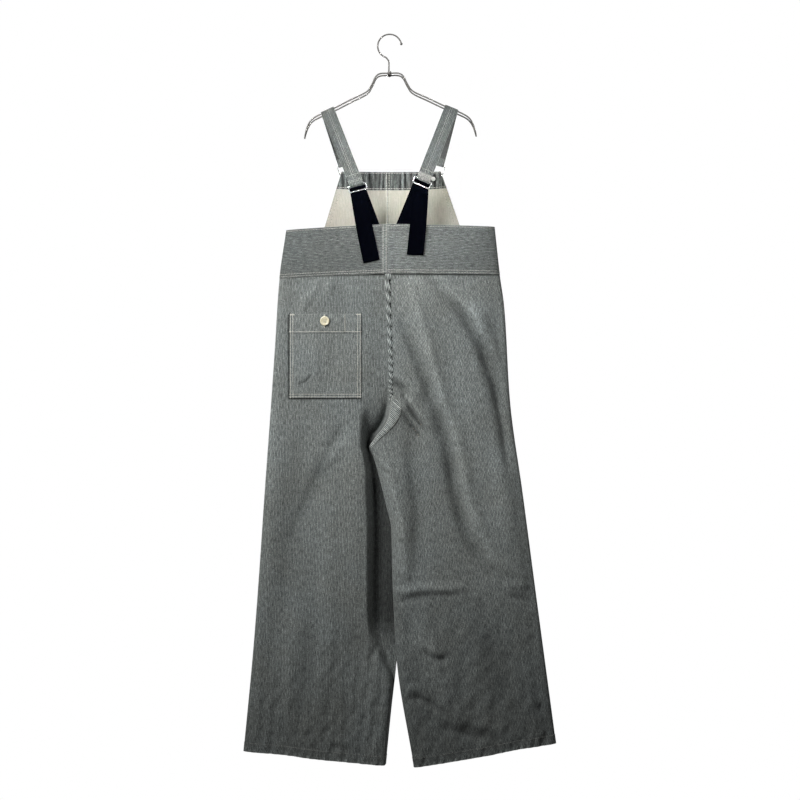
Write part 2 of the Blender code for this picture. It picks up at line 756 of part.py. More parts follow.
def wire_height(x):
    """Height of the hanger's straight shoulder at x, and its direction outwards."""
    sign = 1 if x > 0 else -1
    inner, outer = HANGER_ARM[6], HANGER_ARM[7]
    a = tilted(Vector((sign * inner.x, 0, inner.z)))
    b = tilted(Vector((sign * outer.x, 0, outer.z)))
    return mix(a.z, b.z, (x - a.x) / (b.x - a.x)), (b - a).normalized()


# ---- straps and fittings ----------------------------------------------------------------


def shoulder(side):
    """The point between the two wires that a strap crosses, and the wires' direction."""
    z, outwards = wire_height(SHOULDER_X[side])
    return Vector((SHOULDER_X[side], 0, z)), outwards


def buckle_frame(side):
    """The button's centre in the buckle's plane, and the buckle's up and across directions."""
    crown, _ = shoulder(side)
    button = BIB_BUTTONS[side]
    centre = Vector((button.x, BUCKLE_Y, button.z))
    up = Vector((crown.x - centre.x, 0, crown.z - centre.z)).normalized()
    return centre, up, Vector((up.z, 0, -up.x))


def strap_half(side, face, bar, bar_across, bar_size):
    """Stations from the flap's end round a fitting's bar and up over one hanger wire."""
    crown, outwards = shoulder(side)
    run = Vector((crown.x - bar.x, 0, crown.z - bar.z))
    drop, along = run.length, run.normalized()
    near, over = HANGER_ARM[6].y, WIRE_RADIUS + 1.5 * GAP + STRAP / 2
    turn, lap = bar_size + GAP + STRAP / 2, STRAP + 1.2 * GAP

    def run_y(up):
        return mix(face * (near + over), bar.y - turn, -up / drop)

    path = [(up, run_y(up) + lap + lift) for up, lift in ((STRAP_FLAP - drop, 0), (6 - drop, 0.7))]
    path += [(u - drop, bar.y + y) for y, u in arc((0, 0), turn, 0, -180, 6)]
    path += [(-drop * k / 6, run_y(-drop * k / 6)) for k in (5, 4, 3, 2, 1)]
    path += [(u, face * (near + y)) for y, u in arc((0, 0), over, 0, 90, 3)]
    path += [(over - 1.2, face * near / 2)]
    stations = []
    for up, y in path:
        across = Vector((along.z, 0, -along.x)).lerp(bar_across, smooth(-up, drop - 45, drop - 8))
        across = across.lerp(outwards * side, 1 - smooth(abs(up), 4, 40)).normalized()
        stations.append((crown + along * up + Vector((0, y, 0)), across))
    return stations


def strap(side, finish):
    """From the flap at the slide up over both wires and down to the flap at the buckle."""
    slide_centre, slide_up, slide_across = slide_frame(side)
    buckle_centre, buckle_up, buckle_across = buckle_frame(side)
    slide_bar = slide_centre + slide_up * SLIDE_PITCH
    buckle_bar = buckle_centre + buckle_up * BUCKLE["top"]
    rear = strap_half(side, 1, slide_bar, slide_across, SLIDE_WIRE)
    front = strap_half(side, -1, buckle_bar, buckle_across, BUCKLE_WIRE)
    crown, outwards = shoulder(side)
    middle = crown + Vector((0, 0, WIRE_RADIUS + STRAP / 2 - STRAP_SAG)), outwards * side
    stations = [*rear, middle, *front[::-1]]
    return ribbon("strap_" + SIDE_NAME[side], stations, STRAP_WIDTH, STRAP, finish)


def slide_frame(side):
    """The middle bar's centre and the slide's up and across directions."""
    spot = SLIDES[side]
    tilt = math.radians(spot.tilt_deg)
    up = Vector((math.sin(tilt), 0, math.cos(tilt)))
    across = Vector((math.cos(tilt), 0, -math.sin(tilt)))
    return Vector((spot.x, SLIDE_Y, spot.z)), up, across


def slide(side, finish):
    centre, up, across = slide_frame(side)
    corners = [(-SLIDE_HALF, -SLIDE_PITCH), (SLIDE_HALF, -SLIDE_PITCH),
               (SLIDE_HALF, SLIDE_PITCH), (-SLIDE_HALF, SLIDE_PITCH)]
    loop = [centre + across * p.x + up * p.y for p in rounded_loop(corners, 1.6)]
    name = "slide_" + SIDE_NAME[side]
    frame = wire(name, loop, SLIDE_WIRE, finish, closed=True)
    bar = [centre - across * SLIDE_HALF, centre + across * SLIDE_HALF]
    return merge(frame, wire("bar", bar, SLIDE_WIRE * 0.96, finish))


def webbing(side, finish):
    """From inside the yoke up behind the slide, over its middle bar and down as a free tail."""
    centre, up, across = slide_frame(side)
    turn = SLIDE_WIRE + GAP + WEB / 2
    cross = math.degrees(math.asin(2 * turn / SLIDE_PITCH))
    lap = WEB + GAP + 0.1
    path = [(-SLIDE_PITCH - 3, -turn - lap), (-SLIDE_PITCH * 0.5, -turn - lap * 0.6)]
    path += [(u, y) for y, u in arc((0, 0), turn, 180, -cross, 9)]
    path += [(u - SLIDE_PITCH, y) for y, u in arc((0, 0), turn, 180 - cross, 180, 3)]
    stations = [(centre + up * u + Vector((0, y, 0)), across) for u, y in path]

    def routed(rows):
        made = []
        for row in rows:
            tilt = math.radians(row.tilt_deg)
            made.append((Vector((row.x, row.y, row.z)),
                         Vector((math.cos(tilt), 0, -math.sin(tilt)))))
        return made

    root = routed(WEB_ROOT[side])[::-1]
    return ribbon("webbing_" + SIDE_NAME[side], root + stations + routed(WEB_TAIL[side]),
                  WEB_WIDTH, WEB, finish)


def buckle(side, finish):
    """A wire buckle: a bar for the strap above, a throat round the button's shank below."""
    centre, up, across = buckle_frame(side)
    half, throat = BUCKLE["half"], BUCKLE["throat"]
    top, low = BUCKLE["top"], BUCKLE["shoulder"]
    left = [(1.6 - half, top), (0.5 - half, top - 0.5), (-half, top - 1.6), (-half, low), (3 - half, low - 5)]
    right = [(-x, u) for x, u in left[::-1]]
    outline = left + arc((0, 0), throat, 180, 360, 8) + right
    loop = [centre + across * x + up * u for x, u in outline]
    return wire("buckle_" + SIDE_NAME[side], loop, BUCKLE_WIRE, finish, closed=True)


def bib_surface(side):
    """The bib's middle surface behind a button."""
    button = BIB_BUTTONS[side]
    return bib_point(button.x, bib_up(button.z)).y


def bib_button(side, finish):
    button = BIB_BUTTONS[side]
    seat = bib_surface(side) - CLOTH / 2 - GAP - 0.1
    back = BUCKLE_Y - BUCKLE_WIRE - GAP
    reach = seat - back
    profile = (
        (0, 0), (BUTTON_SHANK, 0), (BUTTON_SHANK, reach), (BUTTON_CAP * 0.9, reach),
        (BUTTON_CAP, reach + 0.9), (BUTTON_CAP * 0.94, reach + 1.9), (BUTTON_CAP * 0.6, reach + 2.7),
        (0, reach + 2.9),
    )
    name = "bib_button_" + SIDE_NAME[side]
    return turned(name, profile, Vector((button.x, seat, button.z)), Vector((0, -1, 0)), finish)


def bib_rivet(side, finish):
    button = BIB_BUTTONS[side]
    seat = bib_surface(side) + 1.5 * CLOTH + 3 * GAP
    profile = (
        (0, 0), (RIVET_RADIUS, 0), (RIVET_RADIUS, 0.5), (RIVET_RADIUS * 0.8, 1.1),
        (RIVET_RADIUS * 0.3, 1.3), (0, 1.3),
    )
    name = "bib_rivet_" + SIDE_NAME[side]
    return turned(name, profile, Vector((button.x, seat, button.z)), Vector((0, 1, 0)), finish, 16)


# ---- the whole garment ------------------------------------------------------------------


def clear_scene():
    for found in list(bpy.data.objects):
        bpy.data.objects.remove(found)


def main():
    clear_scene()
    denim = material("denim", (0.19, 0.20, 0.20), 0.85)
    black_web = material("webbing", (0.008, 0.009, 0.014), 0.75)
    silver = material("silver", (0.75, 0.75, 0.76), 0.25, 1.0)
    steel = material("steel", (0.42, 0.41, 0.39), 0.35, 1.0)
    cream = material("button", (0.82, 0.79, 0.66), 0.35)
    for side in (1, -1):
        for face in (1, -1):
            leg_panel(side, face, denim)
        band_panel(side, 1, "back_yoke_" + SIDE_NAME[side], denim)
        band_panel(side, -1, "front_waistband_" + SIDE_NAME[side], denim)
        bib_half(side, denim)
        strap(side, denim)
        webbing(side, black_web)
        slide(side, silver)
        buckle(side, silver)
        bib_button(side, silver)
        bib_rivet(side, silver)
    bib_facing(denim)
    back_pocket(denim)
    pocket_button(cream)
    hanger_frame(steel)
    hanger_hook(steel)


main()
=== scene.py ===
import math

import bpy
import numpy as np
from mathutils import Matrix, Vector


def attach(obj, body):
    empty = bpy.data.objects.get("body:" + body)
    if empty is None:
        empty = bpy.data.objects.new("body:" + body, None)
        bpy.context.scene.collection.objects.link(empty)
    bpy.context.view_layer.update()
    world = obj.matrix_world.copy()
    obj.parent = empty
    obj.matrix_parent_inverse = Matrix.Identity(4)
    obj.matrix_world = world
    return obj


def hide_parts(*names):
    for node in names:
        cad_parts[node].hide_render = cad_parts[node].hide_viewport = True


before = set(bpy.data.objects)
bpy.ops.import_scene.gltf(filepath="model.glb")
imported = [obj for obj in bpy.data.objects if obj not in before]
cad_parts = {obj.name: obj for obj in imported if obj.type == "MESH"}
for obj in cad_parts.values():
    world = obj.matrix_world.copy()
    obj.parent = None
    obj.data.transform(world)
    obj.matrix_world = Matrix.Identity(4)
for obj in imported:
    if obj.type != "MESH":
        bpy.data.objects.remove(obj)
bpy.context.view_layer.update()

# Sizes are in millimetres until a mesh is made. The wearer's left is +X and the garment's back +Y.
mm = 0.001
sideName = {1: "left", -1: "right"}
sideTitle = {1: "Left", -1: "Right"}
legName = {1: ("backLeg", "back_leg_"), -1: ("frontLeg", "front_leg_")}
bandName = {1: ("backYoke", "back_yoke_"), -1: ("frontWaistband", "front_waistband_")}
layer = {
    "cloth": 1.3,  # one layer of denim
    "band": 2.0,  # the folded yoke and waistband
    "hem": 2.2,  # turned-up leg hem
    "strap": 1.6,
    "web": 1.2,
    "gap": 0.3,  # between neighbouring pieces
}
halfGap = layer["gap"] / 2

garment = {
    "centreX": 3.0,
    "crotch": -849.0,
    "legsPart": -690.0,  # below this height the body starts to part into legs
    "untuck": 105.0,  # above the crotch, where the lower leg is free of the upper one
    "bandProud": 0.8,
    "hemHeight": 20.0,
    "hiddenMargin": 5.0,
    "seamDraw": 12.0,  # how far the seat seam draws the tucked leg up with it
    "seamDip": 8.0,  # how deep the tucked side lies beside the crotch's curve
    "riseGap": 0.2,
}

# half the depth from front to back, by height
depthRows = (
    (-390, 28.0), (-500, 30.0), (-650, 30.0), (-760, 28.0), (-849, 24.0),
    (-970, 22.0), (-1120, 22.0), (-1280, 23.0), (-1500, 26.0),
)
# x of the side seams and inseams, by height
sideSeam = {
    1: ((-402, 211.8), (-502, 226.0), (-644, 235.5), (-754, 243.0), (-962, 258.0),
        (-1123, 269.0), (-1265, 280.0), (-1475, 300.0)),
    -1: ((-394, -215.5), (-494, -226.5), (-559, -235.6), (-752, -247.5), (-946, -274.0),
         (-1143, -300.0), (-1460, -342.5)),
}
inseam = {
    1: ((-849, -36.8), (-970, -31.0), (-1120, -24.0), (-1278, -15.0), (-1390, -3.0), (-1500, 8.0)),
    -1: ((-849, 42.8), (-870, 32.5), (-899, 24.0), (-970, 6.0), (-1017, -4.0), (-1120, -6.5),
         (-1277, -14.5), (-1504, -50.5)),
}
riseSeam = (
    (-390, 3.0), (-494, 3.0), (-711, -3.2), (-758, -3.2), (-786, 1.5), (-805, 11.0),
    (-824, 26.3), (-849, 42.8),
)
waistSeam = {"centre": -493.6, 1: -502.0, -1: -494.6}
bandTop = {"centre": -391.8, 1: -402.2, -1: -395.2}
hemInner = {1: -1502.0, -1: -1506.0}
hemOuter = {1: -1475.0, -1: -1459.0}
hemRun = ((0.0, 0.0), (0.25, -0.5), (0.5, -1.0), (0.72, -3.3), (1.0, 0.0))
inseamFullness = ((-849, 2.8), (-1200, 2.8), (-1330, 4.5), (-1500, 5.5))
# The tucked leg, by height: where its cloth starts to rise beyond the other leg's edge, how wide
# the rise is, and how high the rolled fold beside it stands.
tuckStart = ((-849, 0), (-899, 2), (-930, 9), (-970, 17), (-1017, 26), (-1120, 29), (-1200, 30),
             (-1277, 14), (-1330, 0))
tuckRise = ((-849, 18), (-899, 20), (-970, 22), (-1120, 22), (-1200, 24), (-1277, 22), (-1330, 8),
            (-1500, 3))
tuckRoll = ((-690, 0), (-790, 4), (-849, 9), (-900, 12), (-1120, 12), (-1200, 9), (-1290, 1),
            (-1400, 0))


def mixed(a, b, t):
    return a + (b - a) * t


def eased(value, start, end):
    t = np.clip((value - start) / (end - start), 0.0, 1.0)
    return t * t * (3 - 2 * t)


# a smooth curve through (place, value) rows that never swings past them
def curveThrough(rows, at):
    rows = np.array(sorted(rows), float)
    x, y = rows[:, 0], rows[:, 1]
    step = np.diff(x)
    slope = np.diff(y) / step
    tangent = np.zeros_like(x)
    before, after = slope[:-1], slope[1:]
    same = before * after > 0
    near, far = 2 * step[1:] + step[:-1], step[1:] + 2 * step[:-1]
    safeBefore, safeAfter = np.where(same, before, 1.0), np.where(same, after, 1.0)
    tangent[1:-1] = np.where(same, (near + far) / (near / safeBefore + far / safeAfter), 0.0)
    tangent[0], tangent[-1] = slope[0], slope[-1]
    at = np.clip(np.asarray(at, float), x[0], x[-1])
    k = np.clip(np.searchsorted(x, at) - 1, 0, len(step) - 1)
    h, t = step[k], (at - x[k]) / step[k]
    rise = y[k] * (1 + 2 * t) * (1 - t) ** 2 + y[k + 1] * t * t * (3 - 2 * t)
    return rise + h * t * (1 - t) * (tangent[k] * (1 - t) - tangent[k + 1] * t)


def halfDepth(z):
    return curveThrough(depthRows, z)


def sideX(side, z):
    return curveThrough(sideSeam[side], z)


def inseamX(side, z):
    return curveThrough(inseam[side], np.minimum(z, garment["crotch"]))


def riseX(face, z):
    x = curveThrough(riseSeam, z)
    return x if face > 0 else 2 * garment["centreX"] - x


# 0 at a leg's inseam, 1 at its side seam
def legShare(side, x, z):
    inner = inseamX(side, z)
    return np.clip((x - inner) / (sideX(side, z) - inner), 0, 1)


def roundSide(share):
    return np.sqrt(np.maximum(0.0, 1 - share * share))


# a flattened leg's outline: fuller towards the inseam (share 0) than towards the side seam
def roundTube(share, fullness):
    power = np.where(share < 0.5, fullness, 2.0)
    return np.maximum(0.0, 1 - np.abs(2 * share - 1) ** power) ** (1 / power)


def liesOver(side, face):
    return side * face < 0


# the large folds of each leg panel, as (x0, z0, x1, z1, width, height)
folds = {
    (1, 1): ((160, -800, 80, -930, 26, 3.0), (60, -560, 190, -850, 34, -2.5),
             (40, -960, 60, -1300, 26, -4.0)),
    (1, -1): ((-70, -505, -215, -680, 26, 4.0), (20, -825, -75, -715, 16, 4.0),
              (-105, -790, -152, -1010, 24, -4.0), (-152, -1010, -215, -1130, 24, -4.0),
              (-25, -1140, -170, -1150, 18, 3.0)),
    (-1, 1): ((60, -515, 200, -700, 28, 4.0), (-16, -825, 78, -720, 16, 4.0),
              (110, -800, 160, -1060, 26, -4.0), (40, -1180, 180, -1205, 20, 3.0)),
    (-1, -1): ((-150, -810, -70, -930, 26, 3.0), (-60, -570, -195, -840, 34, -2.5),
               (-50, -980, -80, -1290, 26, -4.0)),
}

# the creases, each as (points it runs through), width, height; a negative height is a trough
seatCreases = (
    (((-95, -504), (-112, -521), (-181, -582), (-216, -660)), 15, 3.4),
    (((-78, -502), (-90, -512), (-147, -573), (-191, -651), (-217, -729),
       (-232, -800), (-243, -880)), 12, -4.4),
    (((-25, -598), (-60, -677), (-86, -747), (-117, -834), (-134, -938),
       (-160, -1042), (-208, -1112)), 13, -4.4),
    (((-42, -502), (-85, -660), (-112, -764), (-138, -834), (-165, -973),
       (-216, -1077), (-286, -1120)), 16, 3.2),
    (((-42, -815), (-46, -903), (-56, -973), (-56, -1096)), 15, -2.6),
    (((14, -862), (3, -899), (-16, -970), (-26, -1017), (-29, -1120), (-34, -1165)), 19, 2.6),
    (((-215, -830), (-228, -930), (-246, -1040)), 18, 1.6),
    (((-60, -1190), (-90, -1300), (-130, -1400)), 24, 2.2),
    (((-190, -1190), (-215, -1290), (-235, -1380)), 24, -2.2),
    (((-52, -498), (-73, -526), (-95, -559)), 10, 1.5),
    (((-9, -713), (-28, -733), (-40, -748)), 5, -2.5),
    (((-15, -699), (-38, -717), (-52, -736)), 6, 1.5),
    (((-28, -745), (-42, -768), (-62, -797), (-80, -822)), 4.5, -3.6),
    (((-40, -748), (-66, -784), (-88, -815)), 7, 2.2),
    (((-26, -776), (-40, -798), (-56, -820), (-68, -840)), 4, -3.2),
    (((-7, -1148), (-38, -1144), (-67, -1138), (-114, -1137), (-160, -1136)), 9, 1.45),
    (((-11, -1175), (-30, -1166), (-60, -1156), (-99, -1153), (-158, -1151)), 8, -1.1),
    (((-232, -1134), (-262, -1131), (-290, -1134)), 9, 1.0),
    (((-245, -1157), (-272, -1160), (-298, -1169)), 7, -1.1),
    (((27, -871), (10, -887), (-17, -909)), 5, 1.8),
    (((25, -882), (6, -902)), 5, -1.8),
    (((-59, -1246), (-87, -1264), (-110, -1274)), 8, 1.3),
    (((-71, -1268), (-95, -1285), (-128, -1279)), 6, -1.2),
    (((-28, -1363), (-63, -1365), (-87, -1375), (-120, -1401)), 6, -1.5),
    (((-32, -1346), (-73, -1346)), 7, 0.8),
    (((-104, -1422), (-157, -1434), (-218, -1447)), 12, -2.2),
    (((-165, -1416), (-227, -1424)), 9, 0.8),
    (((-304, -1379), (-321, -1391), (-333, -1404)), 6, -1.5),
    (((-13, -1106), (-26, -1125), (-32, -1139)), 5, -1.3),
    (((-22, -1100), (-42, -1121)), 5, 0.8),
    (((-13, -1199), (-30, -1215), (-42, -1244)), 6, -1.2),
    (((-239, -1274), (-268, -1293)), 8, -1.0),
)
pocketSideCreases = (
    (((89, -834), (114, -865), (138, -895)), 12, 1.5),
    (((97, -807), (140, -895), (201, -1026)), 15, -2.0),
    (((146, -512), (171, -547), (191, -592)), 10, 1.2),
    (((116, -506), (138, -539)), 9, 1.0),
    (((114, -1461), (85, -1469), (58, -1475)), 6, -1.4),
    (((122, -1449), (77, -1453)), 6, 0.7),
    (((28, -1377), (13, -1383), (5, -1393)), 5, -1.3),
    (((194, -1436), (171, -1440), (146, -1436)), 6, -1.0),
    (((23, -1254), (40, -1285)), 7, -1.0),
    (((183, -813), (200, -998), (214, -1162)), 22, -1.8),
    (((122, -916), (128, -1162), (136, -1346)), 26, 1.6),
    (((190, -1180), (206, -1290), (214, -1400)), 24, 1.8),
    (((150, -1200), (168, -1300), (180, -1420)), 18, -1.6),
    (((261, -967), (245, -981), (232, -1008)), 8, -1.0),
)


# alike creases for the front, turned over about the centre and moved a little
def turnedOver(creases, seed):
    rng = np.random.default_rng(seed)
    made = []
    for line, width, height in creases:
        dx, dz = rng.uniform(-7, 7), rng.uniform(-14, 14)
        moved = tuple((2 * garment["centreX"] - x + dx, z + dz) for x, z in line)
        made.append((moved, width * rng.uniform(0.9, 1.2), height * rng.uniform(0.6, 0.95)))
    return tuple(made)


creases = {
    (1, -1): seatCreases,
    (1, 1): pocketSideCreases,
    (-1, 1): turnedOver(seatCreases, 11),
    (-1, -1): turnedOver(pocketSideCreases, 12),
}


def foldLift(side, face, x, z):
    lift = np.zeros_like(x)
    for x0, z0, x1, z1, width, height in folds[(face, side)]:
        runX, runZ = x1 - x0, z1 - z0
        along = np.clip(((x - x0) * runX + (z - z0) * runZ) / (runX**2 + runZ**2), 0, 1)
        away = np.hypot(x - x0 - runX * along, z - z0 - runZ * along) / width
        lift += height * np.exp(-away * away) * np.sin(np.pi * mixed(0.12, 0.88, along))
    edge = eased(np.abs(x - sideX(side, z)), 4, 40) * eased(np.abs(x - riseX(face, z)), 0, 12)
    return lift * edge * eased(waistSeam["centre"] - z, 4, 40) * eased(z - hemInner[side], 20, 60)


# soft troughs and ridges of uneven length, one flank steeper than the other
def creaseLift(lines, x, z, seed):
    rng = np.random.default_rng(seed)
    lift = np.zeros_like(x)
    for line, width, height in lines:
        corners = np.array(line, float)
        lengths = np.hypot(*np.diff(corners, axis=0).T)
        starts = np.concatenate([[0], np.cumsum(lengths)])
        nearest = np.full(x.shape, 1e9)
        along, flank = np.zeros_like(x), np.zeros_like(x)
        for (x0, z0), (x1, z1), start, length in zip(corners, corners[1:], starts, lengths):
            t = np.clip(((x - x0) * (x1 - x0) + (z - z0) * (z1 - z0)) / length**2, 0, 1)
            offX, offZ = x - mixed(x0, x1, t), z - mixed(z0, z1, t)
            away = np.hypot(offX, offZ)
            closer = away < nearest
            nearest = np.where(closer, away, nearest)
            along = np.where(closer, (start + t * length) / starts[-1], along)
            turned = (x1 - x0) * offZ - (z1 - z0) * offX
            flank = np.where(closer, np.sign(turned), flank)
        skew, phase = rng.uniform(-0.35, 0.35), rng.uniform(0, 2 * np.pi)
        reach = width * (1 + skew * flank) * (0.8 + 0.3 * np.sin(np.pi * along))
        taper = np.sin(np.pi * mixed(0.07, 0.93, along)) ** 0.8
        uneven = 1 + 0.12 * np.sin(starts[-1] / 90 * along * 2 * np.pi + phase)
        lift += height * np.exp(-((nearest / reach) ** 2)) * taper * uneven
    return lift


# slow unevenness, longer down the cloth than across it
def waves(x, z, size, stretch, seed):
    rng = np.random.default_rng(seed)
    total = np.zeros_like(x)
    for _ in range(10):
        angle, length = rng.normal(0, 0.6), size * rng.uniform(0.7, 1.7)
        run = x * math.cos(angle) + z * math.sin(angle) / stretch
        total += np.sin(2 * np.pi * run / length + rng.uniform(0, 2 * np.pi))
    return total / math.sqrt(5)


# the small gathers that a stitched seam draws, by distance from it and place along it
def gathers(away, run, period, height, seed, reach=5.0):
    rng = np.random.default_rng(seed)
    beat = np.sin(2 * np.pi * run / period + rng.uniform(0, 6))
    beat += 0.6 * np.sin(2 * np.pi * run / (period * 1.63) + rng.uniform(0, 6))
    return height * beat * np.exp(-((away / reach) ** 2))


def innerDepth(side, face, wall=layer["cloth"]):
    under = wall / 2 + halfGap
    return under + wall / 2 + layer["gap"] if liesOver(side, face) else -under


def hiddenWidth(z):
    margin = garment["hiddenMargin"] * eased(garment["crotch"] - z, 0, 30) * eased(z, -1330, -1280)
    return np.maximum(0.0, inseamX(-1, z) - inseamX(1, z)) + margin


# where a tucked leg's cloth starts to rise beside the leg that lies over it, and how wide that is
def tuckEdges(z):
    return hiddenWidth(z) + curveThrough(tuckStart, z), curveThrough(tuckRise, z)


tuck = {"joins": 0.3, "rollFrom": 4, "rollReach": 30.0, "freeAbove": 20}


def legTubeDepth(side, face, x, z):
    share = legShare(side, x, z)
    start = innerDepth(side, -side)
    bulge = (halfDepth(z) - start) * roundTube(share, curveThrough(inseamFullness, z))
    free = mixed(start, halfGap, eased(share, 0.0, tuck["joins"])) + bulge
    if liesOver(side, face):
        return free
    start, rise = tuckEdges(z)
    out = np.abs(x - inseamX(side, z))
    beyond = np.maximum(0, out - start - rise - tuck["rollFrom"])
    roll = np.exp(-((beyond / tuck["rollReach"]) ** 2)) * eased(out, start, start + rise)
    free = free + curveThrough(tuckRoll, z) * roll
    tucked = mixed(innerDepth(side, side), free, eased(out, start, start + rise))
    return mixed(tucked, free, eased(z - garment["crotch"], tuck["freeAbove"], garment["untuck"]))


relief = {
    "creases": 2.7, "creaseShade": 0.102,
    "slow": 1.1, "slowSize": 110.0,
    "fine": 0.12, "fineSize": 26.0,
    "rumples": 0.95, "rumpleSize": 32, "rumpledFrom": 1060, "rumpledTo": 1440,
    "smallRumples": 0.45, "smallRumpleSize": 15,
    "atHem": 0.45,  # share of the relief that is left close to the hem
    "puckers": 1.2, "longPuckers": 0.8,
    "waistGathers": 0.45, "waistDraw": 1.2, "waistReach": 5.0,
}


# the creases of one panel come out alike in its form and in its painted light and shade
def panelCreases(side, face, x, z):
    return creaseLift(creases[(face, side)], x, z, 20 + 2 * side + face)


# creases and unevenness of one leg panel, on top of its large folds
def clothRelief(side, face, x, z):
    seed = 20 + 2 * side + face
    lift = relief["creases"] * panelCreases(side, face, x, z)
    lift += relief["slow"] * waves(x, z, relief["slowSize"], 3.0, seed + 10)
    lift += relief["fine"] * waves(x, z, relief["fineSize"], 1.6, seed + 20)
    low = eased(-z, relief["rumpledFrom"], relief["rumpledTo"])
    lift += relief["rumples"] * low * waves(x, z, relief["rumpleSize"], 1.3, seed + 50)
    small = waves(x, z, relief["smallRumpleSize"], 1.3, seed + 51)
    lift += relief["smallRumples"] * relief["rumples"] * low * small
    edge = eased(np.abs(x - sideX(side, z)), 2, 26)
    aboveCrotch = eased(z - garment["crotch"], -10, 30)
    atRise = eased(np.abs(x - riseX(face, z)), 0, 9)
    atInseam = eased(np.abs(x - inseamX(side, z)), 0, 16)
    if not liesOver(side, face):
        hidden = hiddenWidth(z)
        atInseam = eased(np.abs(x - inseamX(side, z)), hidden, hidden + 20)
    edge = edge * mixed(atInseam, atRise, aboveCrotch)
    lift = lift * edge * eased(waistSeam["centre"] - z, 2, 16)
    lift = lift * mixed(relief["atHem"], 1.0, eased(z - hemInner[side], 18, 60))
    aboveHem = z - mixed(hemInner[side], hemOuter[side], legShare(side, x, z))
    size, long = relief["puckers"], relief["longPuckers"]
    puckers = gathers(aboveHem - 9, x, 15, size, seed + 40, 10.0)
    puckers += gathers(aboveHem - garment["hemHeight"], x, 31, long * size, seed + 41, 9.0)
    lift = lift + puckers * np.minimum(edge, 1)
    belowWaist = waistSeam["centre"] - z
    lift += gathers(belowWaist, x, 17, relief["waistGathers"], seed + 30, 9.0) * edge
    lift -= relief["waistDraw"] * np.exp(-((belowWaist / relief["waistReach"]) ** 2)) * edge
    return lift


def legDepth(side, face, x, z):
    x, z = np.asarray(x, float), np.asarray(z, float)
    seam = riseX(face, z)
    parting = eased(-z, -garment["legsPart"], -garment["crotch"])

    def blended(which, atX):
        share = np.clip((atX - seam) / (sideX(which, z) - seam), 0, 1)
        torso = halfGap + (halfDepth(z) - halfGap) * roundSide(share)
        return mixed(torso, legTubeDepth(which, face, atX, z), parting)

    lift = blended(-face, seam) - blended(side, seam)
    draw = np.maximum(0.0, 1 - np.abs(x - seam) / garment["seamDraw"]) ** 2
    draw = draw * eased(z - garment["crotch"], 0, 30)
    above = blended(side, x) + lift * draw
    below = legTubeDepth(side, face, x, z)
    if not liesOver(side, face):
        beside = 0.8 * np.abs(x - seam)
        dip = np.exp(-(((beside - 7) / 8.0) ** 2)) * eased(beside, 0, 4) * garment["seamDip"]
        above = above - dip * eased(-z, 715, 790) * eased(z - garment["crotch"], 0, 40)
    form = np.where(z <= garment["crotch"], below, above)
    return form + foldLift(side, face, x, z) + clothRelief(side, face, x, z)


def closeToEdges(count):
    return (1 - np.cos(np.pi * np.arange(count + 1) / count)) / 2


def newFinish(name):
    made = bpy.data.materials.new(name)
    made.use_nodes = True
    return made, made.node_tree, made.node_tree.nodes["Principled BSDF"]


# links each socket of a node to its source, or gives it its value
def feed(tree, node, sockets):
    for name, source in sockets.items():
        if isinstance(source, bpy.types.NodeSocket):
            tree.links.new(source, node.inputs[name])
        else:
            node.inputs[name].default_value = source


def addNode(tree, kind, sockets, **settings):
    node = tree.nodes.new(kind)
    for key, value in settings.items():
        setattr(node, key, value)
    feed(tree, node, sockets)
    return node


def calc(tree, operation, a, b=0.0, c=0.0):
    node = addNode(tree, "ShaderNodeMath", {0: a, 1: b, 2: c}, operation=operation)
    return node.outputs[0]


def scaled(tree, value, factor, offset):
    return calc(tree, "MULTIPLY_ADD", value, factor, offset)


# a value between 0 and 1 spread evenly about a middle
def about(tree, value, middle, spread):
    return scaled(tree, value, spread, middle - 0.5 * spread)


def product(tree, value, *others):
    for other in others:
        value = calc(tree, "MULTIPLY", value, other)
    return value


def blendColour(tree, share, a, b, kind="MIX"):
    a, b = ((*c, 1.0) if isinstance(c, tuple) else c for c in (a, b))
    settings = {"data_type": "RGBA", "blend_type": kind}
    return addNode(tree, "ShaderNodeMix", {0: share, 6: a, 7: b}, **settings).outputs[2]


# a value that runs smoothly from low to high while the source goes from start to end
def ramped(tree, source, start, end, low, high):
    values = {"Value": source, "From Min": start, "From Max": end, "To Min": low, "To Max": high}
    node = addNode(tree, "ShaderNodeMapRange", values, interpolation_type="SMOOTHSTEP")
    return node.outputs["Result"]


def grainNoise(tree, u, v, sizeAcross, sizeAlong, detail=2.0, seed=0.0):
    across = calc(tree, "MULTIPLY", u, 1 / (sizeAcross * mm))
    along = calc(tree, "MULTIPLY", v, 1 / (sizeAlong * mm))
    spot = addNode(tree, "ShaderNodeCombineXYZ", {0: across, 1: along, 2: seed}).outputs[0]
    return noise(tree, spot, 1.0, detail, Roughness=0.55)


def noise(tree, place, scale, detail, **more):
    sockets = {"Vector": place, "Scale": scale, "Detail": detail, **more}
    return addNode(tree, "ShaderNodeTexNoise", sockets).outputs["Fac"]


def chance(tree, number):
    sockets = {"W": number}
    made = addNode(tree, "ShaderNodeTexWhiteNoise", sockets, noise_dimensions="1D")
    return made.outputs["Value"]


# a value that the cloth's points carry
def carried(tree, name):
    return addNode(tree, "ShaderNodeAttribute", {}, attribute_name=name).outputs["Fac"]


def objectPlace(tree):
    return addNode(tree, "ShaderNodeTexCoord", {}).outputs["Object"]


# the place across and along the stripes
def clothPlace(tree):
    uv = addNode(tree, "ShaderNodeUVMap", {}, uv_map="cloth")
    split = addNode(tree, "ShaderNodeSeparateXYZ", {0: uv.outputs[0]})
    return split.outputs[0], split.outputs[1]


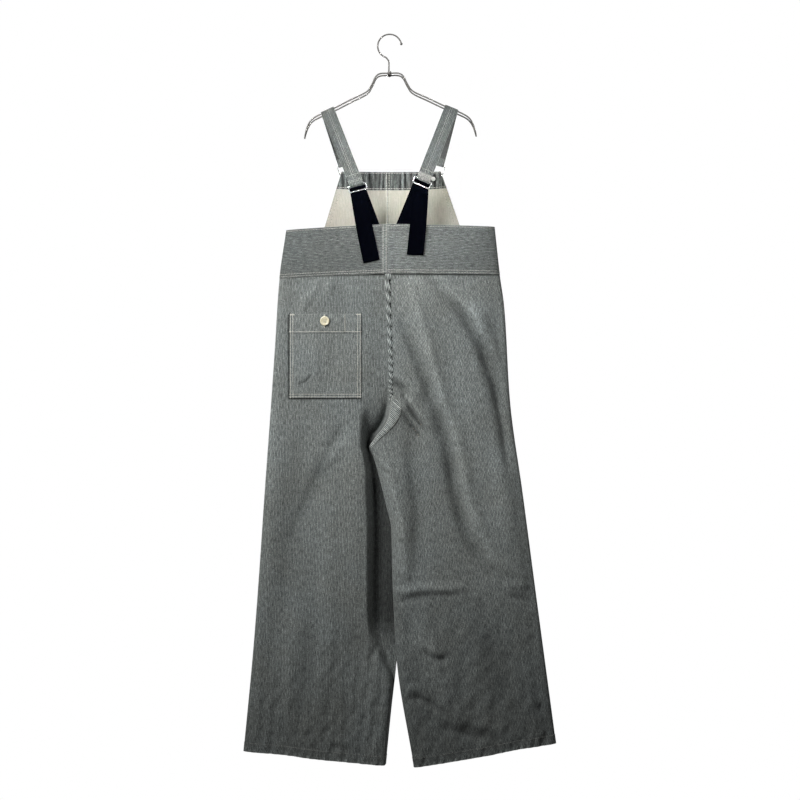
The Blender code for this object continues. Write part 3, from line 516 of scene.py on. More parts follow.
def bumped(tree, height, strength, distance):
    sockets = {"Height": height, "Strength": strength, "Distance": distance * mm}
    return addNode(tree, "ShaderNodeBump", sockets).outputs[0]


stripe = {
    "pitch": 3.1,
    "lightShare": 0.42,
    "light": (0.405, 0.428, 0.408),
    "dark": (0.046, 0.056, 0.057),
    "wander": 1.1,  # how far a stripe strays sideways
    "tremble": 1.0,
    "unevenWidth": 0.18,
    "unevenLight": 0.30,
    "everyOther": 0.05,  # every other light stripe is this much duller
    "clear": 0.36,  # how clearly the stripes stand out
    "greyed": 0.34,  # where a stripe goes as it loses clearness
    "softEdge": 0.10,
    "twill": 1.05, "twillDepth": 0.14,
    "streaks": 2.4,
    "flecks": 1.8,
    "mottling": 0.16,
    "bump": 0.14,
}


# the noises of the cloth, as (size across, size along, detail, seed)
clothNoise = {
    "stray": (60, 130, 2.0, 3.0),
    "tremble": (4, 14, 1.0, 5.0),
    "slub": (0.9, 22, 2.0, 8.0),
    "grain": (0.7, 1.1, 2.0, 9.0),
    "streak": (1.9, 11.0, 2.0, 12.0),
    "fleck": (1.5, 2.6, 1.0, 14.0),
}


def hickoryDenim(name, light, dark, clear=stripe["clear"], mottle=1.0):
    made, tree, shader = newFinish(name)
    u, v = clothPlace(tree)

    noises = [grainNoise(tree, u, v, *sizes) for sizes in clothNoise.values()]
    stray, tremble, slub, grain, streak, fleck = noises
    stray = about(tree, stray, 0.0, 2 * stripe["wander"] * mm)
    tremble = about(tree, tremble, 0.0, 2 * stripe["tremble"] * mm)
    across = calc(tree, "ADD", calc(tree, "ADD", u, stray), tremble)
    turns = calc(tree, "DIVIDE", across, stripe["pitch"] * mm)
    number, place = calc(tree, "FLOOR", turns), calc(tree, "FRACT", turns)

    away = calc(tree, "ABSOLUTE", scaled(tree, place, 2.0, -1.0))
    share = about(tree, chance(tree, number), stripe["lightShare"], stripe["unevenWidth"])
    inner = calc(tree, "SUBTRACT", share, stripe["softEdge"])
    outer = calc(tree, "ADD", share, stripe["softEdge"])
    parity = product(tree, calc(tree, "FRACT", calc(tree, "MULTIPLY", number, 0.5)), 2.0)
    dull = scaled(tree, parity, -stripe["everyOther"], 1.0)
    uneven = chance(tree, calc(tree, "ADD", number, 71.0))
    strength = product(tree, dull, scaled(tree, uneven, -stripe["unevenLight"], 1.0))
    mask = product(tree, ramped(tree, away, inner, outer, 1.0, 0.0), strength)
    mask = scaled(tree, mask, clear, stripe["greyed"] * (1 - clear))
    turnsTwill = product(tree, calc(tree, "ADD", u, v), 2 * math.pi / (stripe["twill"] * mm))
    twill = scaled(tree, calc(tree, "SINE", turnsTwill), 0.5, 0.5)
    depth = stripe["twillDepth"]
    mask = product(tree, mask, scaled(tree, twill, -depth, 1 + depth / 2))

    streak = about(tree, streak, 1, stripe["streaks"] * mottle)
    fleck = about(tree, fleck, 1, stripe["flecks"] * mottle)
    spot = objectPlace(tree)
    cloud = noise(tree, spot, 9.0, 4.0, Roughness=0.6)
    patch = noise(tree, spot, 31.0, 3.0, Roughness=0.6)
    cloudy = about(tree, cloud, 1, 2 * stripe["mottling"] * mottle)
    patchy = about(tree, patch, 1, stripe["mottling"] * mottle)
    # wear and painted light and shade that the cloth's points carry make its colour paler or darker
    fadingAndShade = calc(tree, "ADD", carried(tree, "fadingAndShade"), 1.0)
    speck = product(tree, scaled(tree, slub, 0.55, 0.72), scaled(tree, grain, 0.5, 0.75))
    tone = product(tree, speck, streak, fleck, product(tree, cloudy, patchy), fadingAndShade)
    rubbed = ramped(tree, product(tree, carried(tree, "worn"), grain), 0.25, 0.7, 0.0, 0.45)
    colour = blendColour(tree, rubbed, blendColour(tree, mask, dark, light), light)
    tint = blendColour(tree, cloud, (1.05, 1.0, 0.93), (0.95, 1.0, 1.05))
    colour = blendColour(tree, 0.8, colour, tint, "MULTIPLY")
    scale = addNode(tree, "ShaderNodeCombineXYZ", {0: tone, 1: tone, 2: tone}).outputs[0]
    shaded = addNode(tree, "ShaderNodeVectorMath", {0: colour, 1: scale}, operation="MULTIPLY")

    height = scaled(tree, mask, 0.35, product(tree, twill, 0.3))
    height = calc(tree, "ADD", height, product(tree, slub, 0.5))
    height = calc(tree, "ADD", height, product(tree, grain, 0.35))
    feed(tree, shader, {
        "Base Color": shaded.outputs[0],
        "Normal": bumped(tree, height, 0.8, stripe["bump"]),
        "Roughness": ramped(tree, slub, 0.3, 0.7, 0.80, 0.93),
        "Specular IOR Level": 0.22, "Sheen Weight": 0.12, "Sheen Roughness": 0.5,
    })
    return made


def webbingFinish():
    made, tree, shader = newFinish("webbing")
    u, v = clothPlace(tree)
    ribs = calc(tree, "SINE", product(tree, u, 2 * math.pi / (2.1 * mm)))
    picks = calc(tree, "SINE", product(tree, v, 2 * math.pi / (1.3 * mm)))
    weave = scaled(tree, ribs, 0.35, product(tree, picks, 0.2))
    fuzz = grainNoise(tree, u, v, 0.8, 5, 3.0)
    feed(tree, shader, {
        "Base Color": blendColour(tree, fuzz, (0.0003, 0.0004, 0.0010), (0.0009, 0.0012, 0.0026)),
        "Normal": bumped(tree, scaled(tree, fuzz, 0.5, weave), 0.8, 0.2),
        "Roughness": 0.9, "Specular IOR Level": 0.0,
    })
    return made


def metalFinish(name, colour, roughness, scratch, grainScale, metallic, edge):
    made, tree, shader = newFinish(name)
    place = objectPlace(tree)
    marks = noise(tree, place, grainScale, 4.0, Roughness=0.6)
    cloud = noise(tree, place, 60.0, 3.0)
    dull = tuple(0.72 * part for part in colour)
    feed(tree, shader, {
        "Base Color": blendColour(tree, ramped(tree, cloud, 0.35, 0.7, 0.0, 0.6), colour, dull),
        "Roughness": ramped(tree, marks, 0.3, 0.7, roughness - scratch, roughness + scratch),
        "Normal": bumped(tree, marks, 0.3, 0.05),
        "Metallic": metallic, "Specular IOR Level": 0.5 * edge,
        "Specular Tint": (edge, edge, edge, 1),
    })
    return made


def creamPlastic():
    made, tree, shader = newFinish("creamButton")
    cloud = noise(tree, objectPlace(tree), 120.0, 3.0, Distortion=1.5)
    cloud = ramped(tree, cloud, 0.3, 0.7, 0.0, 1.0)
    feed(tree, shader, {
        "Base Color": blendColour(tree, cloud, (0.72, 0.68, 0.53), (0.56, 0.51, 0.34)),
        "Roughness": 0.3, "Coat Weight": 0.3,
    })
    return made


def threadFinish(name, colour):
    made, tree, shader = newFinish(name)
    cloud = noise(tree, objectPlace(tree), 400.0, 2.0)
    dull = tuple(0.7 * part for part in colour)
    feed(tree, shader, {
        "Base Color": blendColour(tree, cloud, colour, dull),
        "Roughness": 0.6, "Sheen Weight": 0.2,
    })
    return made


denimFace = hickoryDenim("hickoryDenim", stripe["light"], stripe["dark"])
denimReverse = hickoryDenim("denimReverse", (0.355, 0.342, 0.297), (0.275, 0.264, 0.231), 0.5, 0.15)
denimClear = hickoryDenim("denimClear", stripe["light"], stripe["dark"], 0.95, 0.45)
blackWebbing = webbingFinish()
silverMetal = metalFinish("silverWire", (0.66, 0.66, 0.66), 0.26, 0.06, 900.0, 0.9, 0.45)
rivetMetal = metalFinish("rivetMetal", (0.33, 0.33, 0.31), 0.45, 0.08, 700.0, 0.6, 0.4)
steelMetal = metalFinish("hangerSteel", (0.17, 0.165, 0.155), 0.62, 0.05, 300.0, 0.3, 0.15)
creamButton = creamPlastic()
creamThread = threadFinish("creamThread", (0.70, 0.68, 0.60))
shadeThread = threadFinish("shadeThread", (0.13, 0.12, 0.10))
greyThread = threadFinish("greyThread", (0.42, 0.42, 0.38))
print("finishes made")


def linked(name, data):
    made = bpy.data.objects.new(name, data)
    bpy.context.collection.objects.link(made)
    return made


# the mesh that an object's modifiers or bevel make of it
def finalMesh(piece):
    bpy.context.view_layer.update()
    graph = bpy.context.evaluated_depsgraph_get()
    return bpy.data.meshes.new_from_object(piece.evaluated_get(graph))


# hangs a finished piece from the root body and hides the CAD nodes it stands for
def rides(piece, slotName, *nodes):
    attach(piece, "root")
    if nodes:
        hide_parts(*nodes)
    return piece


# from the point before to the point after, along one direction of a grid
def spread(points, axis):
    ahead, behind = np.roll(points, -1, axis), np.roll(points, 1, axis)
    last, first = [slice(None)] * 3, [slice(None)] * 3
    last[axis], first[axis] = -1, 0
    ahead[tuple(last)] = points[tuple(last)]
    behind[tuple(first)] = points[tuple(first)]
    ahead = np.where(np.isnan(ahead), points, ahead)
    behind = np.where(np.isnan(behind), points, behind)
    return ahead - behind


def unit(vectors):
    return vectors / np.maximum(1e-9, np.linalg.norm(vectors, axis=-1, keepdims=True))


# a new mesh object from points in millimetres
def meshPiece(name, points, faces, finishes, smoothDegrees=40):
    mesh = bpy.data.meshes.new(name)
    mesh.from_pydata((np.asarray(points, float) * mm).tolist(), [], faces)
    for finish in finishes:
        mesh.materials.append(finish)
    mesh.shade_smooth()
    mesh.set_sharp_from_angle(angle=math.radians(smoothDegrees))
    return linked(name, mesh)


# how far each point of a grid is from the grid's edge, along its rows and columns
def edgeDistance(points):
    present = ~np.isnan(points[..., 0])
    away = np.full(present.shape, 1e3)
    for axis in (0, 1):
        step = np.linalg.norm(np.diff(points, axis=axis), axis=2)
        step = np.where(np.isnan(step), 0.0, step)
        pad = [(0, 0), (0, 0)]
        pad[axis] = (1, 0)
        run = np.cumsum(np.pad(step, pad), axis=axis)
        whole = run[-1:, :] if axis == 0 else run[:, -1:]
        away = np.minimum(away, np.minimum(run, whole - run))
    return away


# A wall of cloth round a grid of points, with its edges rounded. grain holds each point's place
# across and along the stripes; outward says on which side of the grid the cloth's face lies.
# ends gives the cloth's direction at each row's two ends, where another panel goes on from it.
def clothShell(name, points, thick, grain, outward=1, ends=None, finishes=None, wornReach=4.0,
               fadingAndShade=None):
    present = ~np.isnan(points[..., 0])
    along, down = spread(points, 1), spread(points, 0)
    if ends is not None:
        rows = np.arange(len(points))
        first = np.argmax(present, axis=1)
        last = points.shape[1] - 1 - np.argmax(present[:, ::-1], axis=1)
        for column, wanted in ((first, ends[0]), (last, ends[1])):
            known = ~np.isnan(wanted[:, 0])
            along[rows[known], column[known]] = wanted[known]
    normal = unit(np.cross(along, down)) * outward
    half = np.broadcast_to(np.asarray(thick, float).reshape(-1, 1, 1) / 2, (*present.shape, 1))

    number = np.full(present.shape, -1)
    number[present] = np.arange(present.sum())
    full = present[:-1, :-1] & present[:-1, 1:] & present[1:, 1:] & present[1:, :-1]
    corners = [number[:-1, :-1], number[:-1, 1:], number[1:, 1:], number[1:, :-1]]
    tiles = np.stack([corner[full] for corner in corners], axis=1)
    if outward < 0:
        tiles = tiles[:, ::-1]
    middle, normals, halves = points[present], normal[present], half[present]
    total = len(middle)

    edges = np.concatenate([np.stack([tiles[:, k], tiles[:, (k + 1) % 4]], 1) for k in range(4)])
    keys, backwards = edges[:, 0] * total + edges[:, 1], edges[:, 1] * total + edges[:, 0]
    rim = edges[~np.isin(backwards, keys)]
    centres = middle[tiles].mean(axis=1)
    inwards, count = np.zeros_like(middle), np.zeros((total, 1))
    for k in range(4):
        np.add.at(inwards, tiles[:, k], centres - middle[tiles[:, k]])
        np.add.at(count, tiles[:, k], 1)
    inwards = inwards / np.maximum(count, 1)
    reach = np.linalg.norm(inwards, axis=1, keepdims=True)
    pull = unit(inwards) * np.minimum(0.6 * halves, 0.5 * reach)
    onRim = np.zeros((total, 1))
    onRim[np.unique(rim)] = 1
    outer = middle + normals * halves + pull * onRim
    inner = middle - normals * halves + pull * onRim
    rimPoints = np.unique(rim)
    rimNumber = np.full(total, -1)
    rimNumber[rimPoints] = np.arange(len(rimPoints)) + 2 * total

    a, b = rim[:, 0], rim[:, 1]
    upper = np.stack([b, a, rimNumber[a], rimNumber[b]], 1)
    lower = np.stack([rimNumber[b], rimNumber[a], a + total, b + total], 1)
    faces = np.concatenate([tiles, tiles[:, ::-1] + total, upper, lower])
    everyPoint = np.concatenate([outer, inner, middle[rimPoints]])
    made = meshPiece(name, everyPoint, faces.tolist(), finishes or (denimFace, denimReverse), 60)

    mesh = made.data
    slots = np.zeros(len(faces), np.int32)
    slots[len(tiles):2 * len(tiles)] = 1
    if len(mesh.materials) > 1:
        mesh.polygons.foreach_set("material_index", slots)
    flat = grain[present] * mm
    flat = np.concatenate([flat, flat, flat[rimPoints]])
    loops = np.zeros(len(mesh.loops), np.int32)
    mesh.loops.foreach_get("vertex_index", loops)
    mesh.uv_layers.new(name="cloth").data.foreach_set("uv", flat[loops].ravel())
    worn = np.exp(-edgeDistance(points)[present] / wornReach)
    worn = np.concatenate([worn, worn, np.ones(len(rimPoints))]).astype(np.float32)
    mesh.attributes.new("worn", "FLOAT", "POINT").data.foreach_set("value", worn)
    # each point's fading and its painted light and shade
    paler = np.zeros(total) if fadingAndShade is None else fadingAndShade[present]
    paler = np.concatenate([paler, paler, paler[rimPoints]]).astype(np.float32)
    mesh.attributes.new("fadingAndShade", "FLOAT", "POINT").data.foreach_set("value", paler)
    sides = middle[tiles]
    area = np.linalg.norm(np.cross(sides[:, 2] - sides[:, 0], sides[:, 3] - sides[:, 1]), axis=1)
    outerGrid = np.full(points.shape, np.nan)
    outerGrid[present] = outer
    innerGrid = np.full(points.shape, np.nan)
    innerGrid[present] = inner
    print(f"{name}: {len(faces)} faces, cloth of {area.sum() / 2 * mm * mm:.4f} square metres")
    return {"piece": made, "outer": outerGrid, "inner": innerGrid}


# length across each row, counted from where the row passes startX
def acrossFrom(points, startX):
    step = np.linalg.norm(np.diff(points, axis=1), axis=2)
    step = np.where(np.isnan(step), 0.0, step)
    run = np.pad(np.cumsum(step, axis=1), ((0, 0), (1, 0)))
    result = np.zeros(run.shape)
    for r, (row, lengths) in enumerate(zip(points[..., 0], run)):
        known = ~np.isnan(row)
        x, length = row[known], lengths[known]
        turn = 1 if x[-1] > x[0] else -1
        start = np.interp(startX[r], x[::turn], length[::turn])
        result[r] = turn * (lengths - start)
    return result


# points that run beside one edge of a grid, that far in from it
def seamLine(grid, edge, distance):
    rows = grid.transpose(1, 0, 2) if edge in ("top", "bottom") else grid
    line = []
    for row in rows:
        row = row[~np.isnan(row[:, 0])]
        if edge in ("bottom", "last"):
            row = row[::-1]
        if len(row) < 2:
            continue
        run = np.concatenate([[0], np.cumsum(np.linalg.norm(np.diff(row, axis=0), axis=1))])
        if run[-1] > distance:
            line.append([np.interp(distance, run, row[:, k]) for k in range(3)])
    return np.array(line)


stitching = {"pitch": 3.3, "length": 2.5, "thread": 0.75, "unevenness": 0.12}


def stitchTree():
    tree = bpy.data.node_groups.new("stitchesAlongSeam", "GeometryNodeTree")
    face = tree.interface
    face.new_socket("Seam", in_out="INPUT", socket_type="NodeSocketGeometry")
    for name in ("Pitch", "Stitch Length", "Thread", "Unevenness"):
        face.new_socket(name, in_out="INPUT", socket_type="NodeSocketFloat")
    face.new_socket("Seed", in_out="INPUT", socket_type="NodeSocketInt")
    face.new_socket("Finish", in_out="INPUT", socket_type="NodeSocketMaterial")
    face.new_socket("Stitches", in_out="OUTPUT", socket_type="NodeSocketGeometry")
    given = tree.nodes.new("NodeGroupInput").outputs
    line = addNode(tree, "GeometryNodeMeshToCurve", {"Mesh": given["Seam"]})
    sockets = {"Curve": line.outputs[0], "Length": given["Pitch"]}
    spots = addNode(tree, "GeometryNodeCurveToPoints", sockets, mode="LENGTH")
    bead = addNode(tree, "GeometryNodeMeshUVSphere", {"Segments": 6, "Rings": 4, "Radius": 0.5})
    low, high = (calc(tree, way, 1.0, given["Unevenness"]) for way in ("SUBTRACT", "ADD"))
    sockets = {2: low, 3: high, "Seed": given["Seed"]}
    length = addNode(tree, "FunctionNodeRandomValue", sockets, data_type="FLOAT").outputs[1]
    long = calc(tree, "MULTIPLY", given["Stitch Length"], length)
    size = addNode(tree, "ShaderNodeCombineXYZ", {0: given["Thread"], 1: given["Thread"], 2: long})
    placed = addNode(tree, "GeometryNodeInstanceOnPoints", {
        "Points": spots.outputs["Points"], "Instance": bead.outputs["Mesh"],
        "Rotation": spots.outputs["Rotation"], "Scale": size.outputs[0]})
    real = addNode(tree, "GeometryNodeRealizeInstances", {"Geometry": placed.outputs[0]})
    smooth = addNode(tree, "GeometryNodeSetShadeSmooth", {"Geometry": real.outputs[0]})
    sockets = {"Geometry": smooth.outputs[0], "Material": given["Finish"]}
    last = addNode(tree, "GeometryNodeSetMaterial", sockets)
    tree.links.new(last.outputs[0], tree.nodes.new("NodeGroupOutput").inputs["Stitches"])
    return tree


stitches = stitchTree()


# stitches along lines of points in millimetres, as one plain mesh
def stitched(name, lines, seed=1, finish=None, **changes):
    sizes = {**stitching, **changes}
    points, edges = [], []
    for line in lines:
        start = len(points)
        points += [tuple(np.asarray(p) * mm) for p in line]
        edges += [(k, k + 1) for k in range(start, len(points) - 1)]
    mesh = bpy.data.meshes.new(name)
    mesh.from_pydata(points, edges, [])
    guide = linked(name + "Seams", mesh)
    modifier = guide.modifiers.new("stitches", "NODES")
    modifier.node_group = stitches
    given = {
        "Pitch": sizes["pitch"] * mm, "Stitch Length": sizes["length"] * mm,
        "Thread": sizes["thread"] * mm, "Unevenness": sizes["unevenness"],
        "Seed": seed, "Finish": finish or creamThread,
    }
    for item in stitches.interface.items_tree:
        if item.name in given:
            modifier[item.identifier] = given[item.name]
    result = finalMesh(guide)
    bpy.data.objects.remove(guide)
    return rides(linked(name, result), "denim")


# hangs a finished piece of cloth from the root body and hides its CAD nodes
def hangs(shell, nodes, slot="denim"):
    piece = rides(shell["piece"], slot, *nodes)


pocket = {
    "left": 205.0, "right": 57.5, "top": -575.5, "foot": -747.5, "hem": 39.5,
    "belly": 2.0, "off": 0.6, "across": 84, "down": 96,
}
# painted shade on each side's cloth, by height: how much paler or darker it is made
sideShade = {
    1: ((-494, -0.24), (-700, -0.19), (-900, 0.0), (-1200, 0.0), (-1500, -0.05)),
    -1: ((-494, -0.06), (-1000, -0.04), (-1200, -0.16), (-1350, -0.27), (-1500, -0.33)),
}
legGrid = {"above": 88, "below": 150, "across": 116, "hiddenAcross": 8, "hemStep": 1.2}
# x of one stripe on each panel, by height
grainLine = {
    (1, 1): ((-494, 100), (-850, 112), (-1506, 125)),
    (1, -1): ((-494, -60), (-690, -118), (-850, -160), (-1150, -222), (-1506, -292)),
    (-1, 1): ((-494, 60), (-690, 84), (-850, 112), (-1150, 150), (-1506, 196)),
    (-1, -1): ((-494, -80), (-850, -118), (-1150, -150), (-1506, -190)),
}


# how much the legs' cloth is made paler by wear and lighter or darker by painted light and shade,
# and how far that reaches
wearAndShade = {
    "most": 0.30, "least": -0.43,
    "waist": 0.8, "waistReach": 4.0,
    "folded": 0.74,
    "side": 0.18, "sideReach": 14.0,
    "flecks": 0.25, "fleckSize": 9, "hem": 0.15,
    "hemSeam": 0.15, "hemSeamAt": 19, "hemSeamReach": 3.0,
    "shadowBesidePocket": 0.85, "pocketReach": 2.6,
}


def legWearAndShade(side, face, points):
    x, z = points[..., 0], points[..., 2]
    # painted light and shade: lighter on the creases' ridges, darker in their troughs
    fadingAndShade = relief["creaseShade"] * panelCreases(side, face, x, z)
    fadingAndShade = np.clip(fadingAndShade, wearAndShade["least"], wearAndShade["most"])
    belowWaist, aboveHem = waistSeam["centre"] - z, z - points[-1:, :, 2]
    # painted shadow: a dark line just under the yoke's lower edge
    fadingAndShade = fadingAndShade - wearAndShade["waist"] * np.exp(-((belowWaist / wearAndShade["waistReach"]) ** 2))
    fadingAndShade = fadingAndShade + curveThrough(sideShade[side], z)
    if not liesOver(side, face):  # painted shadow in the valley where the tucked cloth runs under the other leg
        start, rise = tuckEdges(z)
        folded = 1 - eased(np.abs(x - inseamX(side, z)), start - 4, start + rise)
        fadingAndShade = fadingAndShade - wearAndShade["folded"] * folded * eased(-z, 775, 849) * (1 - eased(-z, 1190, 1290))
    # paler along the side seams: wear, and painted light where the cloth turns away from the lamps
    fadingAndShade = fadingAndShade + wearAndShade["side"] * np.exp(-(((x - sideX(side, z)) / wearAndShade["sideReach"]) ** 2))
    flecks = wearAndShade["flecks"] * waves(x, z, wearAndShade["fleckSize"], 3.0, 66) + wearAndShade["hem"]
    hemSeam = np.exp(-(((aboveHem - wearAndShade["hemSeamAt"]) / wearAndShade["hemSeamReach"]) ** 2))
    fadingAndShade = fadingAndShade + flecks * (1 - eased(aboveHem, 3, 9)) - wearAndShade["hemSeam"] * hemSeam
    if (side, face) == (1, 1):  # painted shadow close beside the pocket
        beyond = np.maximum(x - pocket["left"], pocket["foot"] - z)
        inside = (x < pocket["left"] + 9) & (x > pocket["right"])
        inside &= (z < pocket["top"]) & (z > pocket["foot"] - 9)
        edge = np.exp(-(((beyond - 0.5) / wearAndShade["pocketReach"]) ** 2))
        fadingAndShade = fadingAndShade - wearAndShade["shadowBesidePocket"] * inside * edge
    return fadingAndShade


def legShell(side, face):
    over, crotch = liesOver(side, face), garment["crotch"]
    height = crotch - hemInner[side]
    hemShare, step = 1 - garment["hemHeight"] / height, legGrid["hemStep"] / height
    shareAbove = np.concatenate([[0, 0.003], np.linspace(0, 1, legGrid["above"])[1:]])
    shareBelow = np.linspace(0, 1, legGrid["below"])[1:]
    clear = (np.abs(shareBelow - hemShare) > 0.6 * step) & (shareBelow < 1 - 2 * step)
    hemShares = [hemShare - step / 2, hemShare, 1 - step, 1.0]
    shareBelow = np.sort(np.concatenate([shareBelow[clear], hemShares]))
    rows, thick, first, last = [], [], [], []
    shares = closeToEdges(legGrid["across"])
    for above, t in [(True, t) for t in shareAbove] + [(False, t) for t in shareBelow]:
        atInseam = not above or t == 1.0
        if above:
            zIn = mixed(waistSeam["centre"] - halfGap, crotch, t)
            zOut = mixed(waistSeam[side] - halfGap, crotch, t)
            xIn = riseX(face, zIn) + side * garment["riseGap"]
        else:
            zIn, zOut = mixed(crotch, hemInner[side], t), mixed(crotch, hemOuter[side], t)
            xIn = inseamX(side, zIn) + (0 if over else side * hiddenWidth(zIn))
        z = mixed(zIn, zOut, shares)
        if not above:
            z = z - t**6 * curveThrough(hemRun, shares)
        x = mixed(xIn, sideX(side, zOut), shares)
        y = face * legDepth(side, face, x, z)
        wall = layer["hem"] if not above and t >= hemShare else layer["cloth"]
        if wall > layer["cloth"] and not over:  # the flat hidden part stays clear of the other leg
            hidden = hiddenWidth(z)
            lying = 1 - eased(np.abs(x - inseamX(side, z)), hidden, hidden + 35)
            y = y - face * lying * (layer["hem"] - layer["cloth"]) / 2
        y[-1] = face * halfGap
        if atInseam:
            y[0] = face * innerDepth(side, face, wall)
        row = np.stack([x, y, z], 1)
        if not over:
            hidden = np.full((legGrid["hiddenAcross"], 3), np.nan)
            if atInseam:
                rim = np.array([float(inseamX(side, zIn)), y[0], zIn])
                parts = np.arange(legGrid["hiddenAcross"])[:, None] / legGrid["hiddenAcross"]
                hidden = mixed(rim[None], row[0][None], parts)
            row = np.concatenate([hidden, row])
        rows.append(row)
        thick.append(wall)
        first.append((0, face, 0) if over and atInseam else (side, 0, 0))
        last.append((0, -face, 0))
    points = np.array(rows)
    stripeX = grainLine[(face, side)]
    startX = curveThrough(stripeX, points[:, -1, 2])
    # stripes follow the grain line by each point's own height, not by its row's
    across = acrossFrom(points, startX) - curveThrough(stripeX, points[..., 2]) + startX[:, None]
    grain = np.stack([across, -points[..., 2]], 2)
    name = legName[face][0] + sideTitle[side]
    ends = (np.array(first, float), np.array(last, float))
    fadingAndShade = legWearAndShade(side, face, points)
    return name, clothShell(name, points, thick, grain, side * face, ends, fadingAndShade=fadingAndShade)


legs = {(face, side): legShell(side, face) for face in (1, -1) for side in (1, -1)}
print("legs made")


def bandPoint(side, face, share, down, outwards=garment["bandProud"]):
    zIn = mixed(bandTop["centre"], waistSeam["centre"] + halfGap, down)
    zOut = mixed(bandTop[side], waistSeam[side] + halfGap, down)
    x = mixed(riseX(face, zIn) + side * halfGap, sideX(side, zOut), share)
    z = mixed(zIn, zOut, share)
    depth = halfGap + (halfDepth(z) + outwards) * roundSide(share)
    return np.stack(np.broadcast_arrays(x, face * depth, z), -1)


seatStrip = {
    "width": ((-850, 7.5), (-745, 8.0), (-494, 11.5)),
    "twist": ((-850, 8.0), (-745, 8.5), (-690, 15.0), (-600, 23.0), (-494, 24.0)),
    "lean": ((-850, 26), (-760, 17), (-494, 8)),
    "twistHeight": 0.8, "twistShade": 0.5, "proud": 0.45, "wall": 1.0, "foot": -752.0,
}
crotchBand = {
    "from": -746.0, "to": -847.0, "proud": 0.8, "wall": 1.0, "lean": -48.0,
    "width": ((-847, 5.0), (-815, 12.0), (-795, 17.0), (-772, 23.0), (-760, 19.0), (-746, 7.0)),
}


# how far a strip's face falls away towards its two long edges
def edgeDrop(share, drop, power=4):
    return drop * (2 * share - 1) ** power


# the felled strip down the seat seam or the front rise, twisted by its seam into a rope
def riseStrip(face):
    shape = seatStrip
    z = np.linspace(waistSeam["centre"] - 0.4, shape["foot"], 190)
    width = curveThrough(shape["width"], z)
    shares = np.linspace(0, 1, 15)
    x = riseX(face, z)[:, None] + face * (shares[None] - 0.5) * width[:, None]
    zz = np.repeat(z[:, None], len(shares), axis=1)
    depth = np.where(x > riseX(face, zz), legDepth(1, face, x, zz), legDepth(-1, face, x, zz))
    turns = np.concatenate([[0], np.cumsum(-np.diff(z) / curveThrough(shape["twist"], z[1:]))])
    beat = np.sin(2 * np.pi * (turns[:, None] + 0.45 * shares[None]))
    depth = depth + layer["cloth"] / 2 + shape["proud"] + shape["twistHeight"] * beat
    depth = depth - edgeDrop(shares[None], 0.5)
    points = np.stack([x, face * depth, zz], 2)
    lean = np.radians(curveThrough(shape["lean"], zz))
    grain = np.stack([(x - riseX(face, zz)) + np.tan(lean) * (-zz - 494), -zz], 2)
    # painted light and shade: the rope lighter on its ridges and darker between them, with painted
    # shadow in the gaps along one edge
    shadowGaps = -0.75 * eased(-beat, -0.1, 0.6) * eased(0.34 - shares[None], 0, 0.14)
    name = "seatSeam" if face > 0 else "frontRiseSeam"
    return clothShell(name, points, shape["wall"], grain, 1, finishes=(denimClear,), wornReach=1.0,
                      fadingAndShade=shape["twistShade"] * beat + shadowGaps)


# the wide felled band round the crotch's curve, on the panel that lies over
def curveBand(face):
    shape = crotchBand
    z = np.linspace(shape["from"], shape["to"], 60)
    x = riseX(face, z)
    run = np.stack([np.gradient(x), np.gradient(z)], 1)
    run /= np.linalg.norm(run, axis=1, keepdims=True)
    inwards = np.stack([run[:, 1], -run[:, 0]], 1) * face
    shares = np.linspace(0, 1, 13)
    offset = curveThrough(shape["width"], z)[:, None] * shares[None] + 0.3
    xx, zz = x[:, None] + inwards[:, :1] * offset, z[:, None] + inwards[:, 1:] * offset
    depth = legDepth(-face, face, xx, zz) + layer["cloth"] / 2 + shape["proud"]
    depth = depth - edgeDrop(shares[None], 0.35, 6) + gathers(0.0, zz, 10.0, 0.15, 77 + face)
    points = np.stack([xx, face * depth, zz], 2)
    lean = math.radians(shape["lean"])
    cos, sin = math.cos(lean), math.sin(lean)
    grain = np.stack([cos * xx + sin * zz, sin * xx - cos * zz], 2)
    name = "crotchBand" if face > 0 else "frontCrotchBand"
    return clothShell(name, points, shape["wall"], grain, -1, finishes=(denimClear,), wornReach=1.5,
                      fadingAndShade=np.full(xx.shape, 0.25))


yokeCreases = (
    (((-116, -430), (-140, -457), (-161, -473), (-177, -481)), 5, 1.0),
    (((-79, -412), (-95, -428), (-116, -436)), 6, -1.2),
    (((150, -470), (176, -452), (196, -446)), 7, 0.7),
    (((40, -486), (78, -470), (118, -474)), 8, -0.6),
    (((-30, -480), (-58, -462)), 7, 0.6),
)


bandRelief = {
    "waves": 0.35, "waveSize": 60, "topPuckers": 0.22, "footPuckers": 0.28, "puckersReach": 12.0,
    "cutHeight": 103, "sway": 2.0, "swaySize": 190, "shade": -0.41, "unevenShade": 0.08,
}


